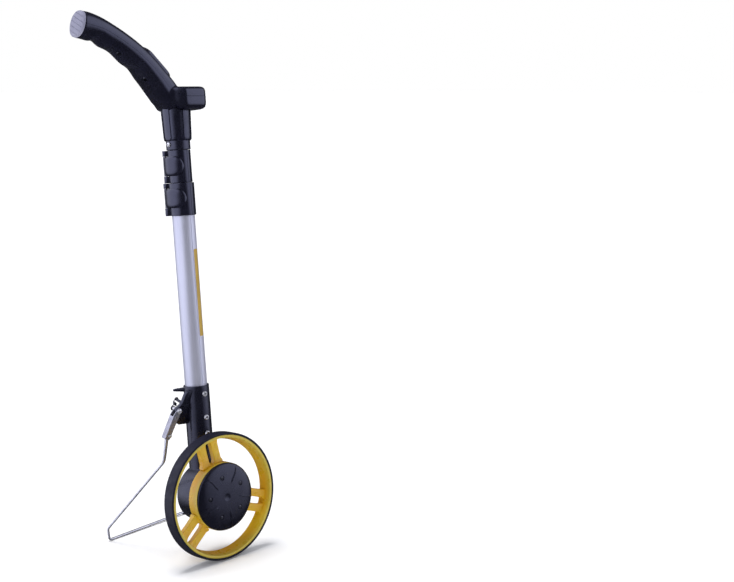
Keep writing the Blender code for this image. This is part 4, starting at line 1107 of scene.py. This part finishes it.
def make_display():
    centre = (DISPLAY_X, 0.0)
    window = solid("display_lens", prism(rounded(10.2, 24.2, 3.0, 8, centre), 583.6, 585.1, "Z"), POLE)
    show(soften(window, 0.25, 2), WINDOW, "display_window")
    bezel = solid("display_mask", frame_ring(rounded(10.2, 24.2, 3.0, 8, centre),
                                             rounded(8.0, 22.4, 0.6, 8, centre), 580.6, 583.3), POLE)
    show(bezel, BLACK, "display_bezel")
    for side, name in ((1, "left"), (-1, "right")):
        wedge = [(side * 20.2, 580.7), (side * 22.2, 580.7), (side * 22.2, 583.1)]
        rings = [[(DISPLAY_X + x, y, z) for y, z in wedge] for x in (-7.8, 7.8)]
        show(soften(solid(f"display_reflector_{name}", ring_stack(rings), POLE), 0.15, 2), STEEL,
             body="handle")
    module = solid("lcd_panel", prism(rounded(9.8, 23.5, 0.6, 3, centre), 576.4, 580.3, "Z"), POLE)
    show(soften(module, 0.2, 2), SCREEN, "lcd_module")
    digits = digit(-10.5, "abcdef") + digit(-15.9, "abcdef")
    digits.append(prism(rounded(0.45, 0.45, 0.2, 2, (DISPLAY_X - 3.4, -13.2)), *INK_Z, "Z"))
    piece("lcd_digits", merge(*digits), POLE, INK, body="handle")


def digit(y_mid, marks):
    """Seven-segment figure on the screen, upright for someone holding the grip."""
    half_w, half_h, thick = 1.7, 3.4, 0.42
    long_h, long_w = half_h / 2 - thick * 0.75, half_w - thick * 0.75
    places = {"a": (half_h, 0, 0), "d": (-half_h, 0, 0), "g": (0, 0, 0), "b": (half_h / 2, -half_w, 1),
              "c": (-half_h / 2, -half_w, 1), "e": (-half_h / 2, half_w, 1), "f": (half_h / 2, half_w, 1)}
    made = []
    for mark in marks:
        x, y, upright = places[mark]
        length = long_h if upright else long_w
        outline = [(-length, -thick), (length, -thick), (length + thick, 0), (length, thick),
                   (-length, thick), (-length - thick, 0)]
        if not upright:
            outline = [(b, a) for a, b in outline]
        outline = [(DISPLAY_X + x + a, y_mid + y + b) for a, b in outline]
        made.append(prism(outline, *INK_Z, "Z"))
    return made


INK_Z = (580.36, 580.44)
KEY_AT = (20.0, 10.4, 0.8, -9.0, -19.4)
KEY_HALF = (2.8, 4.65)


def oval(half_x, half_y, x):
    return [(x + half_x * cos(t), half_y * sin(t)) for t in around(40)]


def make_keypad():
    rings = []
    for half_x, half_y, radius, z in (
            (26.6, 13.6, 13.0, -2.2), (26.6, 13.6, 13.0, 0.5), (26.35, 13.35, 12.8, 1.05),
            (25.9, 12.9, 12.3, 1.38), (25.5, 12.1, 11.5, 1.4), (25.1, 11.4, 10.8, 1.25),
            (24.85, 10.95, 10.3, 0.9), (24.8, 10.8, 10.2, 0.5), (24.8, 10.8, 10.2, -2.2)):
        rings.append([(x, y, z) for x, y in rounded(half_x, half_y, radius, 12)])
    piece("keypad_surround", ring_stack(rings, closed=True), KEYPAD, BLACK, "keypad_frame", sharp=40)
    panel_rings = [[(x, y, z) for x, y in rounded(24.5 - inset, 10.5 - inset, 9.9 - inset, 12)]
                   for z, inset in ((-1.6, 0.0), (0.7, 0.0), (0.95, 0.25), (1.0, 0.7))]
    panel = solid("keypad_film_panel", ring_stack(panel_rings), KEYPAD)
    holes = merge(*[prism(oval(KEY_HALF[0] + 0.3, KEY_HALF[1] + 0.3, x), -4, 4, "Z") for x in KEY_AT])
    cut(panel, KEYPAD, holes)
    show(panel, KEYS_YELLOW, "keypad_panel")
    for k, x in enumerate(KEY_AT):
        rings = [[(*p, h) for p in oval(KEY_HALF[0] - inset, KEY_HALF[1] - inset, x)]
                 for h, inset in ((-1.4, 0.0), (1.5, 0.0), (1.85, 0.12), (2.15, 0.4), (2.38, 0.9),
                                  (2.47, 1.5), (2.5, 2.2))]
        piece(f"keypad_button_{k + 1}", ring_stack(rings), KEYPAD, KEY_RED if k == 4 else KEY_GREY,
              f"key_{k + 1}", sharp=50)


# ---- kickstand ----
OUT = radians(STAND_OUT)
DOWN = Vector((-sin(OUT), 0, -cos(OUT)))
REAR = Vector((-cos(OUT), 0, sin(OUT)))
TO_STAND = STAND_LOCAL.inverted()
TO_UNIT = UNIT.inverted()


def floor_point(x, y, z):
    return (TO_STAND @ TO_UNIT @ Vector(((x - ORIGIN[0]) * MM, (y - ORIGIN[1]) * MM, z * MM))) / MM


def unit_point(x, y, z):
    return (TO_STAND @ Vector((x * MM, y * MM, z * MM))) / MM


def on_channel(points):
    """Outline given as (towards the rear, down the leg), placed in the swing plane."""
    return [tuple((REAR * a + DOWN * b).xz) for a, b in points]


ROD_PIN = DOWN * 33.0 + REAR * 0.4
ROD_PIN_HOLE = disc(1.25, -9, 9, 24, "Y", tuple(ROD_PIN.xz))


def make_stand_lever():
    outline = rounded_loop([(-3.5, -1.5), (-1.9, -3.8), (1.9, -3.8), (6.0, 5.0), (6.0, 38.0), (-1.6, 38.0),
                            (-2.5, 16.0), (-3.5, 4.0)], (1.8, 1.7, 2.0, 3.0, 0.8, 1.2, 4.0, 3.0), 6)
    lever = solid("stand_channel", prism(on_channel(outline), -3.9, 3.9), STAND)
    soften(lever, 0.4, 3, 50)
    inside = on_channel([(-7, -8), (9, -8), (9, 8), (5.0, 8), (5.0, 41), (-7, 41)])
    cut(lever, STAND, prism(inside, -2.8, 2.8), disc(2.55, -9, 9, 40, "Y"), ROD_PIN_HOLE)
    show(lever, CHANNEL, "stand_lever")


def make_stand_pins():
    pivot = [(0, -4.9), (1.1, -4.9), (1.3, -5.8), (2.0, -5.8), (3.2, -5.1), (3.2, -4.2), (2.45, -4.2),
             (2.45, 10.4), (1.9, 11.0), (0, 11.0)]
    shape = turned_loop(pivot, (0, 0.1, 0.2, 0.4, 0.5, 0.3, 0, 0.2, 0.2, 0), 40, "Y")
    piece("stand_pivot_rivet", shape, STAND, STEEL, "stand_pivot_pin")
    pin = [(0, -5.7), (1.7, -5.6), (2.4, -4.8), (2.4, -4.2), (1.2, -4.2), (1.2, 4.5), (0, 4.5)]
    shape = turned_loop(pin, (0, 0.4, 0.5, 0.2, 0, 0.2, 0), 32, "Y", tuple(ROD_PIN.xz))
    piece("stand_rod_rivet", shape, STAND, STEEL, "stand_rod_pin")


HEEL = floor_point(*FOOT_START, FOOT_WIRE_R)
TOE = floor_point(*FOOT_END, FOOT_END_RISE)


def arc_through(a, corner, b, steps=8):
    """Points of a smooth bend from a to b round a corner."""
    shares = [k / steps for k in range(steps + 1)]
    return [a * (1 - t) ** 2 + corner * (2 * t * (1 - t)) + b * t ** 2 for t in shares]


def make_stand_rod():
    ankle = floor_point(FOOT_START[0] - 0.6, FOOT_START[1] + 1.6, 16.5)
    bend = unit_point(-45.0, 59.6, 125.2)
    rod_top = DOWN * 22.0 + REAR * 1.4
    rod_mid = DOWN * 38.5 + REAR * 0.1
    along, rise = (TOE - HEEL).normalized(), (ankle - HEEL).normalized()
    leg, thigh = (ankle - bend).normalized(), (bend - rod_mid).normalized()
    path = [rod_top, rod_mid, rod_mid + (bend - rod_mid) * 0.5]
    path += arc_through(bend - thigh * 5.0, bend, bend + leg * 5.0)
    path += [bend + (ankle - bend) * f for f in (0.25, 0.5, 0.75)]
    path += arc_through(ankle - leg * 3.2, ankle, ankle - rise * 3.2)
    path += arc_through(HEEL + rise * 4.2, HEEL, HEEL + along * 4.2)
    path += [HEEL + (TOE - HEEL) * f for f in (0.25, 0.5, 0.75, 1.0)]
    thick = [2.4, 2.4, 2.2] + [2.0 - 0.45 * k / 8 for k in range(9)] + [1.52] * 3 + [1.5] * 9 + [1.55] * 9
    thick += [1.6] * 4
    rod = solid("stand_wire", sweep(path, thick, 20), STAND)
    cut(rod, STAND, ROD_PIN_HOLE)
    show(rod, CHROME, "stand_rod", sharp=40)


def make_foot_tip():
    along = (TOE - HEEL).normalized()
    level = (floor_point(*FOOT_END, 0) - floor_point(*FOOT_START, 0)).normalized()
    upright = (floor_point(0, 0, 1) - floor_point(0, 0, 0)).normalized()
    across = level.cross(upright)
    outline = rounded_loop([(-2.6, -FOOT_END_RISE), (2.6, -FOOT_END_RISE), (3.0, -1.0), (2.2, 2.0), (0, 2.4),
                            (-2.2, 2.0), (-3.0, -1.0)], (0.5, 0.5, 1.2, 1.2, 1.2, 1.2, 1.2), 4)
    rings = []
    for s, shrink in ((-7.0, 0.55), (-6.8, 0.35), (-6.3, 0.1), (-5.8, 0.0), (0.2, 0.0), (1.0, 0.15),
                      (1.45, 0.45), (1.6, 0.8)):
        k = 1 - shrink / 3.0
        rings.append([tuple(TOE + level * s + across * (a * k)
                            + upright * (b * k - FOOT_END_RISE * (1 - k))) for a, b in outline])
    tip = solid("foot_tip_rubber", ring_stack(rings), STAND)
    cut(tip, STAND, sweep([TOE - along * 14, TOE + along * 0.05], [1.85, 1.85], 24))
    show(tip, TYRE, "foot_tip")


def make_spring():
    """Tension spring from the post to the far end of the pivot pin, with a hook at each end."""
    top_y, low_y, coil_r, turns, per_turn = 12.0, 9.2, 2.2, 3, 24
    to_pin = -POST.normalized()
    aside = Vector((to_pin.z, 0, -to_pin.x))
    coil = [POST + Vector((2.5 * sin(t), top_y, 2.5 * cos(t)))
            for t in (radians(150 - 12 * k) for k in range(21))]
    for k in range(turns * per_turn + 1):
        t = 2 * pi * k / per_turn
        done = k / (turns * per_turn)
        middle = POST + to_pin * (3.6 + 3.4 * done) + Vector((0, top_y + (low_y - top_y) * done, 0))
        coil.append(middle + aside * (coil_r * cos(t)) + Vector((0, coil_r * sin(t), 0)))
    coil += [Vector((3.15 * sin(t), low_y, 3.15 * cos(t)))
             for t in (radians(-40 - 10 * k) for k in range(19))]
    piece("stand_coil_spring", sweep(coil, [0.58] * len(coil), 12), STAND, DARK_STEEL_AND_SHADE, "stand_spring",
          sharp=60)


make_tyre()
make_rim()
make_cap()
make_hub_screws()
make_bracket()
make_bracket_screws()
make_drum_cover()
make_tubes()
make_label()
make_collar("lower", LOWER_COLLAR_Z, COLLAR_R[0], LOWER_TUBE[0] + 0.05, MIDDLE_TUBE[0] + 0.05,
            LOWER_TUBE_Z[1] + GAP, LEVER_SPAN[0])
make_collar("upper", UPPER_COLLAR_Z, COLLAR_R[1], MIDDLE_TUBE[0] + 0.05, UPPER_TUBE[0] + 0.05,
            MIDDLE_TUBE_Z[1] + GAP, LEVER_SPAN[1])
make_neck()
make_handle()
make_end_cap()
make_display()
make_keypad()
make_stand_lever()
make_stand_pins()
make_stand_rod()
make_foot_tip()
make_spring()
